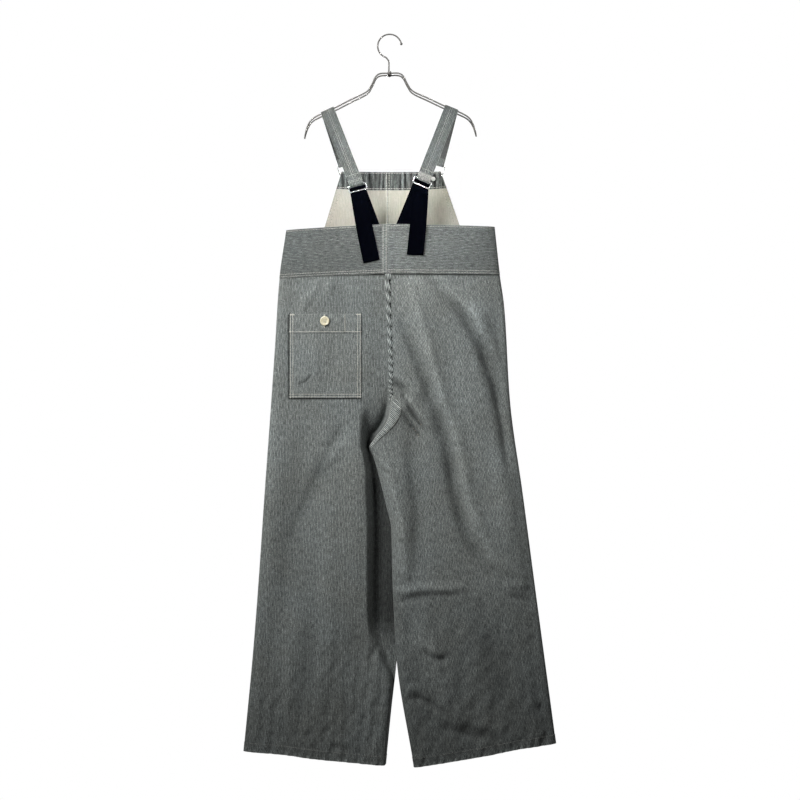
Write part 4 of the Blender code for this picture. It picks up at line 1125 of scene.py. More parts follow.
def bandShell(side, face):
    shares = closeToEdges(96)
    downs = np.concatenate([[0, 0.008], np.linspace(0, 1, 34)[1:-1], [0.992, 1]])
    share, down = np.meshgrid(shares, downs)
    points = bandPoint(side, face, share, down)
    x, z = points[..., 0], points[..., 2]
    lines = yokeCreases if face > 0 else turnedOver(yokeCreases, 41)
    fade = eased(1 - share, 0.0, 0.1) * eased(share, 0.0, 0.02)
    fadeDown = eased(down, 0, 0.12) * eased(1 - down, 0, 0.14)
    lift = creaseLift(lines, x, z, 43 + face) * fadeDown
    slow = waves(x, z, bandRelief["waveSize"], 0.5, 47 + side + face)
    lift = lift + bandRelief["waves"] * slow * fadeDown
    top, foot, reach = (bandRelief[key] for key in ("topPuckers", "footPuckers", "puckersReach"))
    lift = lift + gathers(down * 100, x, 13, top, 51 + side, reach)
    lift = lift + gathers((1 - down) * 100, x, 11, foot, 53 + face, reach)
    points[..., 1] += face * lift * fade
    points[:, -1, 1] = face * halfGap
    ends = [np.full((len(downs), 3), way, float) for way in ((side, 0, 0), (0, -face, 0))]
    run = acrossFrom(points, np.zeros(len(downs)))
    sway = bandRelief["sway"] * waves(x, z, bandRelief["swaySize"], 1, 61 + face)
    grain = np.stack([mixed(0, bandRelief["cutHeight"], down) + sway, run], 2)
    name = bandName[face][0] + sideTitle[side]
    uneven = bandRelief["unevenShade"] * side if face > 0 else 0.0
    shade = np.full(x.shape, bandRelief["shade"] - uneven)
    return name, clothShell(name, points, layer["band"], grain, side * face, ends, fadingAndShade=shade)


bands = {(face, side): bandShell(side, face) for face in (1, -1) for side in (1, -1)}


# the strip down the middle of the yoke or waistband
def bandStrip(face, side):
    downs, shares = np.linspace(0.002, 0.998, 40), np.linspace(0, 1, 11)
    share, down = np.meshgrid(shares, downs)
    points = bandPoint(side, face, 1e-3, down)
    points[..., 0] = points[..., 0] + side * mixed(-0.3, 12.0, share)
    points[..., 1] += face * (layer["band"] / 2 + 0.4 - edgeDrop(share, 0.3))
    grain = np.stack([-points[..., 2] + 3.0 * share, points[..., 0]], 2)
    name = "yokeSeam" if face > 0 else "waistbandSeam"
    return clothShell(name, points, 1.0, grain, side * face, finishes=(denimFace,), wornReach=1.5,
                      fadingAndShade=np.full(share.shape, -0.25))


for face in (1, -1):
    strip, crotch, middle = riseStrip(face), curveBand(face), bandStrip(face, face)
    for made in (strip, crotch, middle):
        rides(made["piece"], "denim")
    for side in (1, -1):
        name, leg = legs[(face, side)]
        rows, extra = [seamLine(leg["outer"], "bottom", 18.0)], [strip["piece"]]
        if side != face:
            rows += [crotch["outer"][:, c] for c in (1, -2)]
            extra = [crotch["piece"]]
        seams = stitched(name + "Stitches", rows, 80 + side + 3 * face, greyThread)
        node = legName[face][1] + sideName[side]
        nodes = [node + part for part in ("_top", "_middle", "_foot")]
        hangs(leg, nodes)
        name, band = bands[(face, side)]
        rows = [seamLine(band["outer"], "bottom", d) for d in (3.0, 7.5)]
        rows.append(seamLine(band["outer"], "top", 3.2))
        extra = []
        if side == face:
            rows += [middle["outer"][:, c] for c in (3, 8)]
            extra = [middle["piece"]]
        seams = stitched(name + "Stitches", rows, 90 + side + 3 * face)
        node = bandName[face][1] + sideName[side]
        hangs(band, [node])
print("yoke and waistband made")


bib = {
    "topLeft": (99.8, -278.8),
    "topRight": (-106.4, -278.8),
    "footLeft": 136.0,
    "footRight": -146.5,
    "dip": 1.0,
    "topDepth": 21.0,
    "seamX": 4.0,
    "facingHeight": 34.0,
    "facingSag": 4.0,
    "facingInset": 0.6,
    "tuckedIn": 2.1,  # the foot lies behind the waistband
    "waves": 0.5, "waveSize": 60, "ripples": 0.18, "rippleSize": 17,
    "edgePuckers": 0.3, "seamPuckers": 0.2,
    "seamWidth": 9.0, "seamProud": 0.75,
}


# the bib's foot: one gap above the front waistband's top edge
def waistTop(x):
    inner = {side: float(bandPoint(side, -1, 0, 0)[0]) for side in (1, -1)}
    outer = {side: float(bandPoint(side, -1, 1, 0)[0]) for side in (1, -1)}
    found = np.zeros((*x.shape, 3))
    for side in (1, -1):
        share = np.clip((x - inner[side]) / (outer[side] - inner[side]), 0, 1)
        onSide = x > garment["centreX"] if side > 0 else x <= garment["centreX"]
        found = np.where(onSide[..., None], bandPoint(side, -1, share, 0), found)
    return found[..., 1], found[..., 2] + layer["gap"]


def bibPoint(x, up):
    footY, footZ = waistTop(x)
    share = (x - bib["topRight"][0]) / (bib["topLeft"][0] - bib["topRight"][0])
    topZ = mixed(bib["topRight"][1], bib["topLeft"][1], share)
    topZ = topZ - bib["dip"] * 4 * np.clip(share, 0, 1) * (1 - np.clip(share, 0, 1))
    behind = bib["tuckedIn"] * (1 - eased(up, -0.012, 0.03))
    return np.stack([x, mixed(footY, -bib["topDepth"], up) + behind, mixed(footZ, topZ, up)], -1)


def bibEdge(side, up):
    if side > 0:
        return mixed(bib["footLeft"], bib["topLeft"][0], up)
    return mixed(bib["footRight"], bib["topRight"][0], up)


def bibUp(z):
    return (z - bandTop["centre"]) / (bib["topLeft"][1] - bandTop["centre"])


# how far the bib's cloth bulges towards its outside
def bibRelief(x, z, up):
    lift = bib["waves"] * waves(x, z, bib["waveSize"], 2.5, 101)
    lift = lift + bib["ripples"] * waves(x, z, bib["rippleSize"], 1.6, 102)
    lift = lift * eased(up, 0, 0.1) * eased(1 - up, 0.0, 0.12)
    beside = np.minimum(bibEdge(1, up) - x, x - bibEdge(-1, up))
    lift = lift * eased(beside, 0, 25)
    lift = lift + gathers(beside - 5, z, 10, bib["edgePuckers"], 103, 7.0)
    return lift + gathers(x - bib["seamX"], z, 9, bib["seamPuckers"], 104, 6.0)


tuckedUps = [0.02, 0.01, 0, -0.012, -0.03, -0.055]
bibUps = np.concatenate([[1, 0.993], np.linspace(0.97, 0.03, 46), tuckedUps])
for side in (1, -1):
    share, up = np.meshgrid(np.linspace(0, 1, 44), bibUps)
    x = mixed(bib["seamX"] + side * halfGap, bibEdge(side, up), share)
    points = bibPoint(x, up)
    points[..., 1] -= bibRelief(x, points[..., 2], up)
    grain = np.stack([x - bib["seamX"] - side * 0.7, -points[..., 2]], 2)
    name = "bib" + sideTitle[side]
    made = clothShell(name, points, layer["cloth"], grain, -side)
    rows = []
    for which in ("outer", "inner"):
        rows += [seamLine(made[which], "last", d) for d in (2.6, 9.6)]
        rows += [seamLine(made[which], "first", 3.0), seamLine(made[which], "bottom", 12.0)]
    # painted shade: dark beads where the thread goes in
    holes = [seamLine(made["inner"], "last", d) for d in (2.2, 9.2)]
    holes = stitched(name + "StitchHoles", holes, 115 + side, shadeThread,
                     pitch=6.6, length=2.6, thread=1.25)
    rows += [seamLine(made["outer"], "top", d) for d in (3.0, 32.0)]
    extra = []
    if side > 0:  # the felled centre seam on the bib's outside
        share, up = np.meshgrid(np.linspace(0, 1, 9), np.linspace(0.998, 0.045, 60))
        x = bib["seamX"] + bib["seamWidth"] * (share - 0.5)
        points = bibPoint(x, up)
        lift = bibRelief(x, points[..., 2], up) + layer["cloth"] / 2 + bib["seamProud"]
        points[..., 1] -= lift - edgeDrop(share, 0.3)
        grain = np.stack([x, -points[..., 2]], 2)
        middle = clothShell("bibSeam", points, 1.0, grain, -1, finishes=(denimFace,), wornReach=1.5)
        rides(middle["piece"], "denim")
        rows += [middle["outer"][:, c] for c in (2, 6)]
        extra.append(middle["piece"])
    seams = stitched(name + "Stitches", rows, 110 + side, greyThread)
    hangs(made, ["bib_" + sideName[side]])

parts = np.concatenate([[0, 0.03], np.linspace(0.08, 0.92, 14), [0.97, 1]])
share, part = np.meshgrid(np.linspace(0, 1, 120), parts)
height = bib["facingHeight"] + bib["facingSag"] * 4 * share * (1 - share)
up = mixed(bibUp(bib["topLeft"][1] - height), 1.0, part)
inset = bib["facingInset"]
x = mixed(bibEdge(-1, up) + inset, bibEdge(1, up) - inset, share)
points = bibPoint(x, up)
points[..., 1] += layer["cloth"] + 1.5 * layer["gap"]
z = points[..., 2]
ripple = 0.26 * waves(x, z, 9, 6.0, 121) + 0.2 * waves(x, z, 21, 4.0, 122)
points[..., 1] += np.maximum(0, ripple) * eased(part, 0, 0.15) * eased(1 - part, 0, 0.12)
bibButton = {1: (82.8, -294.0), -1: (-90.6, -294.2), "cap": 8.5, "shank": 3.0, "rivet": 4.4}
shadeOf = {"facing": -0.68, "uneven": 0.18, "atRivet": 0.3, "rivetReach": 3.5, "darkest": -0.97}
facingShade = shadeOf["uneven"] * waves(x, z, 8, 9.0, 124) + shadeOf["facing"]
for side in (1, -1):  # darker close round the rivets
    rivetX, rivetZ = bibButton[side]
    away = np.hypot(x - rivetX, z - rivetZ) - bibButton["rivet"]
    dark = shadeOf["atRivet"] * np.exp(-(((away - 1) / shadeOf["rivetReach"]) ** 2))
    facingShade = np.maximum(shadeOf["darkest"], facingShade - dark)
facing = clothShell("bibFacing", points, layer["cloth"], np.stack([x, -z], 2), -1,
                    fadingAndShade=facingShade)
rows = [seamLine(facing["outer"], "top", 3.0), seamLine(facing["outer"], "bottom", 2.5)]
for offset in (-3.4, 3.4):
    column = int(np.argmin(np.abs(facing["outer"][0, :, 0] - bib["seamX"] - offset)))
    rows.append(facing["outer"][:, column])
seams = stitched("bibFacingStitches", rows, 123)
hangs(facing, ["bib_facing"])
print("bib made")


pocketCreases = (
    (((189, -719), (172, -713), (159, -698)), 2.2, -1.1),
    (((183, -713), (168, -704), (158, -692)), 4.0, 0.5),
    (((92, -596), (86, -606), (72, -608)), 4.0, -0.5),
    (((150, -640), (128, -690)), 16, -0.7),
    (((100, -630), (92, -720)), 13, 0.6),
)


def pocketBelly(share, z):
    down = (pocket["top"] - z) / (pocket["top"] - pocket["foot"])
    return pocket["belly"] * np.sin(np.pi * share) * np.sin(np.pi * down)


def pocketPoints(x, z, outwards):
    return np.stack([x, legDepth(1, 1, x, z) + outwards, z], -1)


hemZ = pocket["top"] - pocket["hem"]
levels = np.concatenate([
    [pocket["top"], pocket["top"] - 0.8], np.linspace(pocket["top"] - 2.5, hemZ + 1.2, 22),
    [hemZ + 0.3, hemZ - 0.3], np.linspace(hemZ - 2, pocket["foot"] + 1.8, pocket["down"] - 26),
    [pocket["foot"] + 0.8, pocket["foot"]],
])
shares = np.concatenate([[0, 0.006], np.linspace(0.016, 0.984, pocket["across"]), [0.994, 1]])
share, z = np.meshgrid(shares, levels)
x = mixed(pocket["left"], pocket["right"], share)
wall = np.where(levels > hemZ, layer["hem"], layer["cloth"])
outwards = layer["cloth"] / 2 + pocket["off"] + wall[:, None] / 2 + pocketBelly(share, z)
nearEdge = np.minimum(np.minimum(x - pocket["right"], pocket["left"] - x), z - pocket["foot"])
outwards = outwards + creaseLift(pocketCreases, x, z, 131) * eased(nearEdge, 0, 9)
outwards = outwards + np.maximum(0, 0.25 * waves(x, z, 26, 2.2, 132)) * eased(nearEdge, 3, 14)
outwards = outwards + np.abs(gathers(nearEdge - 4.5, x + z, 8.0, 0.22, 133, 5.0))
points = pocketPoints(x, z, outwards)
lean = math.tan(math.radians(2))
grain = np.stack([x - 130 - lean * (z + 660), -z], 2)
# painted shade in the crease at the pocket's lower corner
cornerCreaseShade = creaseLift(((pocketCreases[0][0], 1.9, 1.0),), x, z, 5)
# its pale edges are wear and painted light where its folded edges catch the lamps
patch = clothShell("backPocket", points, wall, grain, -1, wornReach=6.0,
                   fadingAndShade=-0.12 - 0.6 * cornerCreaseShade)
edges = ("first", "last", "bottom")
rows = [seamLine(patch["outer"], edge, d) for edge in edges for d in (1.9, 7.2)]
rows.append(seamLine(patch["outer"], "top", 36.5))
pocketSeams = stitched("pocketStitches", rows, 134, thread=1.15, pitch=3.0, length=2.7)


# a line of points on the face of the pocket's hem
def onPocket(x, z, lift):
    share = (pocket["left"] - x) / (pocket["left"] - pocket["right"])
    outwards = layer["cloth"] / 2 + pocket["off"] + layer["hem"] + pocketBelly(share, z) + lift
    return pocketPoints(x, z, outwards)


# a closed seam of dense small stitches round a narrow opening, and short bars at the corners
turnAngles = np.linspace(0, 2 * np.pi, 41)
buttonhole = {"x": 133.2, "z": -591.0, "halfWidth": 1.6, "halfHeight": 13.6}
narrowed = 1 - 0.35 * np.abs(np.sin(turnAngles))
holeX = buttonhole["x"] + buttonhole["halfWidth"] * np.cos(turnAngles) * narrowed
holeZ = buttonhole["z"] + buttonhole["halfHeight"] * np.sin(turnAngles)
bars = [onPocket(holeX, holeZ, 0.3)]
for cornerX in (pocket["left"] - 5.5, pocket["right"] + 5.5):
    for level in (pocket["top"] - 1.2, pocket["top"] - 2.0):
        barX = cornerX + np.linspace(-4, 4, 8)
        bars.append(onPocket(barX, np.full(8, level), 0.35))
bars.append(onPocket(np.full(16, 91.0), np.linspace(-578, -611, 16), 0.3))
pocketBars = stitched("pocketBars", bars, 135, pitch=0.9, length=1.8, thread=0.95)
hangs(patch, ["back_pocket"])
print("pocket made")


# a smooth line through points, as Vectors
def flowing(points, step):
    points = [Vector(p) for p in points]
    ends = [2 * points[0] - points[1], *points, 2 * points[-1] - points[-2]]
    line = []
    for a, b, c, d in zip(ends, ends[1:], ends[2:], ends[3:]):
        count = max(1, round((c - b).length / step))
        for k in range(count):
            t = k / count
            line.append(0.5 * (2 * b + (c - a) * t + (2 * a - 5 * b + 4 * c - d) * t**2
                               + (3 * b - a - 3 * c + d) * t**3))
    return [*line, points[-1]]


def arc(centre, radius, start, end, count):
    angles = [math.radians(mixed(start, end, k / count)) for k in range(count + 1)]
    return [(centre[0] + radius * math.cos(a), centre[1] + radius * math.sin(a)) for a in angles]


# a closed mesh round a line of points
def wire(name, line, radius, finish, closed=False):
    curve = bpy.data.curves.new(name, "CURVE")
    curve.dimensions = "3D"
    curve.bevel_depth = radius * mm
    curve.bevel_resolution = 6
    curve.use_fill_caps = True
    spline = curve.splines.new("POLY")
    spline.points.add(len(line) - 1)
    for point, place in zip(spline.points, line):
        point.co = (*(Vector(place) * mm), 1.0)
    spline.use_cyclic_u = closed
    guide = linked(name + "Line", curve)
    mesh = finalMesh(guide)
    bpy.data.objects.remove(guide)
    mesh.materials.clear()
    mesh.materials.append(finish)
    mesh.shade_smooth()
    return linked(name, mesh)


# a profile of (radius, height) pairs turned about an axis
def turnedPiece(name, profile, centre, axis, finish, sides=48, smoothDegrees=32):
    turn = Vector((0, 0, 1)).rotation_difference(axis).to_matrix()
    points = [centre + turn @ Vector((0, 0, profile[0][1]))]
    for radius, height in profile[1:-1]:
        for k in range(sides):
            angle = 2 * math.pi * k / sides
            spot = Vector((radius * math.cos(angle), radius * math.sin(angle), height))
            points.append(centre + turn @ spot)
    points.append(centre + turn @ Vector((0, 0, profile[-1][1])))
    rings, last = len(profile) - 2, len(points) - 1
    faces = []
    for k in range(sides):
        n = (k + 1) % sides
        faces.append((0, 1 + n, 1 + k))
        for r in range(rings - 1):
            a, b = 1 + r * sides, 1 + (r + 1) * sides
            faces.append((a + k, a + n, b + n, b + k))
        faces.append((last, 1 + (rings - 1) * sides + k, 1 + (rings - 1) * sides + n))
    return meshPiece(name, points, faces, (finish,), smoothDegrees)


# the points of a curve that rounds one corner off
def roundedCorner(before, corner, after, reach, share=0.45, count=4):
    toBack, toFront = before - corner, after - corner
    size = min(reach, share * toBack.length, share * toFront.length)
    first, last = corner + toBack.normalized() * size, corner + toFront.normalized() * size
    steps = [k / count for k in range(count + 1)]
    return [first * (1 - t) ** 2 + corner * 2 * t * (1 - t) + last * t * t for t in steps]


# a profile's corners made round
def softened(profile, reach):
    corners = [Vector(place) for place in profile]
    made = [profile[0]]
    for around in zip(corners, corners[1:], corners[2:]):
        made += [tuple(point) for point in roundedCorner(*around, reach)]
    return [*made, profile[-1]]


def joined(body, *others, operation="UNION"):
    for other in others:
        modifier = body.modifiers.new("joined", "BOOLEAN")
        modifier.operation = operation
        modifier.solver = "EXACT"
        modifier.object = other
        mesh = finalMesh(body)
        body.modifiers.clear()
        body.data = mesh
        bpy.data.objects.remove(other)
    body.data.set_sharp_from_angle(angle=math.radians(35))
    return body


hanger = {
    "arm": (
        (0, 14.0, -81.3), (18, 14.0, -81.5), (28, 14.3, -87.5), (37, 15.0, -105.0),
        (48, 15.5, -119.3), (80, 17.2, -134.9), (112, 17.5, -150.7), (142, 17.5, -163.6),
        (160, 15.5, -173.6),
        (169.0, 12.0, -185.5), (174.5, 6.0, -201.0),
    ),
    "tip": (176.5, 0.0, -210.5),
    "tilt": 0.8,
    "wire": 1.5,
    "barZ": -80.3, "barRadius": 4.2, "barHalf": 17.0,
    "hook": (-0.2, -23.0), "hookRadius": 24.5, "hookFrom": 169, "hookTo": -72,
    "stemX": 1.4, "ball": 2.7,
}


def tilted(point):
    pivot = Vector((0, 0, hanger["barZ"]))
    return Matrix.Rotation(math.radians(hanger["tilt"]), 3, "Y") @ (Vector(point) - pivot) + pivot


def hangerSide(signX, signY):
    arm = [Vector((signX * x, signY * y, z)) for x, y, z in hanger["arm"]]
    tip = Vector((signX * hanger["tip"][0], 0, hanger["tip"][2]))
    return [tilted(p) for p in flowing([*arm, tip], 3.0)]


around = ((1, 1), (1, -1), (-1, -1), (-1, 1))
nearLeft, farLeft, farRight, nearRight = (hangerSide(*signs) for signs in around)
loop = nearLeft + farLeft[-2::-1] + farRight[1:] + nearRight[-2:0:-1]
wires = wire("hangerFrame", loop, hanger["wire"], steelMetal, closed=True)
half, radius = hanger["barHalf"], hanger["barRadius"]
profile = softened([(0, -half), (radius * 0.7, -half + 0.2), (radius, -half + 3.2),
                    (radius, half - 3.2), (radius * 0.7, half - 0.2), (0, half)], 1.6)
middle = Vector((0, 0, hanger["barZ"]))
crossBar = turnedPiece("crossBar", profile, middle, Vector((0, 1, 0)), steelMetal, 32)
rides(joined(wires, crossBar), "steel", "hanger_frame")

circle = arc(hanger["hook"], hanger["hookRadius"], hanger["hookFrom"], hanger["hookTo"], 72)
line = [Vector((x, 0, z)) for x, z in circle]
foot = line[-1]
stemTop = Vector((hanger["stemX"], 0, foot.z - 9))
stemFoot = Vector((hanger["stemX"], 0, hanger["barZ"] + radius + layer["gap"] + 0.1))
halfway = mixed(foot, stemTop, 0.5) + Vector((-1.2, 0, -0.6))
bend = flowing([line[-4], foot, halfway, stemTop, stemFoot], 1.5)
hookWire = wire("hangerHook", [*line[:-4], *bend], hanger["wire"], steelMetal)
size = hanger["ball"]
angles = [math.pi * k / 16 for k in range(1, 16)]
ballProfile = [(0, -size), *((size * math.sin(a), -size * math.cos(a)) for a in angles), (0, size)]
ball = turnedPiece("hookBall", ballProfile, line[0], Vector((0, 0, 1)), steelMetal, 32)
rides(joined(hookWire, ball), "steel", "hanger_hook")
print("hanger made")


strap = {
    "shoulder": {1: 126.6, -1: -126.8}, "width": 28.5, "flap": 14.0, "sag": 1.3,
    "lines": (-2.3, 2.3), "fadingAndShade": -0.53, "liningShade": -0.82, "liningShadeFrom": 0.53, "paleRows": 11,
}
slide = {
    "wire": 1.1, "pitch": 6.3, "half": 18.4, "y": 29.0,
    1: (65.3, -317.6, 14.4), -1: (-66.8, -307.3, -23.4),
}
webbing = {
    "width": 34.0,
    "root": {
        1: ((37.5, 26.0, -394.7, 19.8), (26.6, 26.4, -425.0, 19.8)),
        -1: ((-30.6, 26.0, -395.6, -22.3), (-18.5, 26.4, -425.0, -22.3)),
    },
    "tail": {
        1: ((58.5, 29.0, -356.0, 10.5), (52.0, 31.6, -394.0, 10.5),
            (45.0, 32.6, -430.0, 11.5), (36.6, 33.4, -468.6, 12.6)),
        -1: ((-61.5, 29.0, -352.0, -5.0), (-58.8, 31.6, -392.0, -4.0),
             (-55.6, 32.4, -425.0, -2.5), (-52.3, 33.0, -455.8, -2.8)),
    },
}
buckle = {"y": -24.8, "wire": 1.2, "half": 16.4, "top": 32.0, "shoulder": 15.0, "throat": 4.7}


def shoulder(side):
    inner, outer = hanger["arm"][6], hanger["arm"][7]
    a, b = tilted((side * inner[0], 0, inner[2])), tilted((side * outer[0], 0, outer[2]))
    x = strap["shoulder"][side]
    return Vector((x, 0, mixed(a.z, b.z, (x - a.x) / (b.x - a.x)))), (b - a).normalized()


def slideFrame(side):
    x, z, degrees = slide[side]
    tilt = math.radians(degrees)
    upwards = Vector((math.sin(tilt), 0, math.cos(tilt)))
    return Vector((x, slide["y"], z)), upwards, Vector((math.cos(tilt), 0, -math.sin(tilt)))


def buckleFrame(side):
    crown, _ = shoulder(side)
    x, z = bibButton[side]
    centre = Vector((x, buckle["y"], z))
    upwards = Vector((crown.x - x, 0, crown.z - z)).normalized()
    return centre, upwards, Vector((upwards.z, 0, -upwards.x))


def easedOne(value, start, end):
    return float(eased(value, start, end))


# (centre, direction across) from the flap's end round a fitting's bar and up to one hanger wire
def strapHalf(side, face, bar, barAcross, barSize):
    crown, outwards = shoulder(side)
    run = Vector((crown.x - bar.x, 0, crown.z - bar.z))
    drop, along = run.length, run.normalized()
    near, half = hanger["arm"][6][1], layer["strap"] / 2
    over, turn = hanger["wire"] + 1.5 * layer["gap"] + half, barSize + layer["gap"] + half
    lap = layer["strap"] + 1.2 * layer["gap"]

    def runY(up):
        return mixed(face * (near + over), bar.y - turn, -up / drop)

    flap = strap["flap"]
    path = [(flap - drop - back, runY(flap - drop) + lap) for back in (0, 0.8)]
    for up in (12.0, 10.5, 9.0, 7.5, 6.0):
        path.append((up - drop, runY(up - drop) + lap + 0.7 * easedOne(flap - up, 0, flap - 6)))
    startY = runY(6 - drop) + lap + 0.7
    for k in (1, 2, 3):
        path.append((6 * (1 - k / 4) - drop, mixed(startY, bar.y + turn, easedOne(k, 0, 4))))
    path += [(u - drop, bar.y + y) for y, u in arc((0, 0), turn, 0, -180, 14)]
    ups = [-drop * (1 - k / 44) for k in range(1, 44)]
    path += [(up, runY(up)) for up in ups]
    path += [(u, face * (near + y)) for y, u in arc((0, 0), over, 0, 90, 8)]
    middle = hanger["wire"] + half - strap["sag"]
    path += [(mixed(over, middle, easedOne(k, 0, 6)), face * near * (1 - k / 6))
             for k in range(1, 6)]
    stations = []
    for up, y in path:
        across = Vector((along.z, 0, -along.x))
        across = across.lerp(barAcross, easedOne(-up, drop - 45, drop - 8))
        across = across.lerp(outwards * side, 1 - easedOne(abs(up), 4, 40)).normalized()
        stations.append((crown + along * up + Vector((0, y, 0)), across))
    return stations


# a grid of points along stations, its rows across them
def ribbonGrid(stations, width, columns):
    offsets = width * (closeToEdges(columns) - 0.5)
    centres = np.array([tuple(centre) for centre, _ in stations])
    across = np.array([tuple(direction) for _, direction in stations])
    points = centres[:, None] + across[:, None] * offsets[None, :, None]
    run = np.concatenate([[0], np.cumsum(np.linalg.norm(np.diff(centres, axis=0), axis=1))])
    grain = np.stack(np.broadcast_arrays(offsets[None], run[:, None]), -1)
    return points, grain, float(run[-1])


def raised(points, lift):
    normal = unit(np.cross(spread(points, 1), spread(points, 0)))
    return points + normal * lift[..., None]


# stations along a line of (x, y, z, degrees of tilt)
def routed(rows, step=4.0):
    places = flowing([row[:3] for row in rows], step)
    along = np.linspace(0, len(rows) - 1, len(places))
    tilts = np.radians(np.interp(along, np.arange(len(rows)), [row[3] for row in rows]))
    return [(p, Vector((math.cos(a), 0, -math.sin(a)))) for p, a in zip(places, tilts)]


def between(start, end, step=4.0):
    count = max(1, round((end[0] - start[0]).length / step))
    shares = [k / count for k in range(1, count)]
    return [(start[0].lerp(end[0], t), start[1].lerp(end[1], t).normalized()) for t in shares]


denimPale = hickoryDenim("denimPale", (0.56, 0.56, 0.53), (0.25, 0.25, 0.24))
for side in (1, -1):
    centre, upwards, across = slideFrame(side)
    rear = strapHalf(side, 1, centre + upwards * slide["pitch"], across, slide["wire"])
    centre, upwards, across = buckleFrame(side)
    front = strapHalf(side, -1, centre + upwards * buckle["top"], across, buckle["wire"])
    crown, outwards = shoulder(side)
    above = hanger["wire"] + layer["strap"] / 2 - strap["sag"]
    middle = crown + Vector((0, 0, above)), outwards * side
    points, grain, length = ribbonGrid([*rear, middle, *front[::-1]], strap["width"], 22)
    offset, run = grain[..., 0], grain[..., 1]
    # the two seams draw the cloth in
    lift = 0.22 * np.exp(-((np.abs(offset) - strap["lines"][1]) / 1.6) ** 2)
    lift = lift + gathers(offset, run, 7.0, 0.12, 141 + side, 9.0)
    lift = lift + gathers(np.abs(offset) - 14, run, 9.0, 0.1, 143)
    away = eased(run, 16, 34) * eased(length - run, 16, 34)
    points = raised(points, lift * away)
    name = "strap" + sideTitle[side]
    finishes = (denimFace, denimFace, denimPale)
    made = clothShell(name, points, layer["strap"], grain, -1, finishes=finishes, wornReach=2.0,
                      fadingAndShade=np.full(offset.shape, strap["fadingAndShade"]))
    tone = made["piece"].data.attributes["fadingAndShade"].data
    for k in np.flatnonzero(run > strap["liningShadeFrom"] * length):
        tone[offset.size + int(k)].value = strap["liningShade"]  # painted shade on the front half's lining
    columns = points.shape[1] - 1
    tiles = columns * (points.shape[0] - 1)
    for r in range(strap["paleRows"] if side < 0 else 0):  # the right flap's end is paler
        for c in range(columns):
            made["piece"].data.polygons[tiles + r * columns + c].material_index = 2
    rows = []
    for place in strap["lines"]:
        column = int(np.argmin(np.abs(offset[0] - place)))
        rows += [made["outer"][12:-12, column], made["inner"][30:-30, column]]
    rows += [made["inner"][row, 1:-1] for row in (3, 5, -4, -6)]
    rows += [made["outer"][row, 1:-1] for row in (30, -31)]
    seams = stitched(name + "Stitches", rows, 145 + side, greyThread, thread=0.7)
    hangs(made, ["strap_" + sideName[side]])

for side in (1, -1):
    centre, upwards, across = slideFrame(side)
    turn = slide["wire"] + layer["gap"] + layer["web"] / 2
    cross = math.degrees(math.asin(2 * turn / slide["pitch"]))
    lap, pitch = layer["web"] + layer["gap"] + 0.1, slide["pitch"]
    path = [(-pitch - 3, -turn - lap), (-pitch * 0.5, -turn - lap * 0.6)]
    path += [(u, y) for y, u in arc((0, 0), turn, 180, -cross, 20)]
    path += [(u - pitch, y) for y, u in arc((0, 0), turn, 180 - cross, 180, 6)]
    stations = [(centre + upwards * u + Vector((0, y, 0)), across) for u, y in path]

    root, tail = routed(webbing["root"][side])[::-1], routed(webbing["tail"][side])
    stations = [*root, *between(root[-1], stations[0]), *stations,
                *between(stations[-1], tail[0]), *tail]
    points, grain, length = ribbonGrid(stations, webbing["width"], 20)
    name = "webbing" + sideTitle[side]
    made = clothShell(name, points, layer["web"], grain, -1, finishes=(blackWebbing,),
                      wornReach=1.0)
    hangs(made, ["webbing_" + sideName[side]],
          slot="webbing")

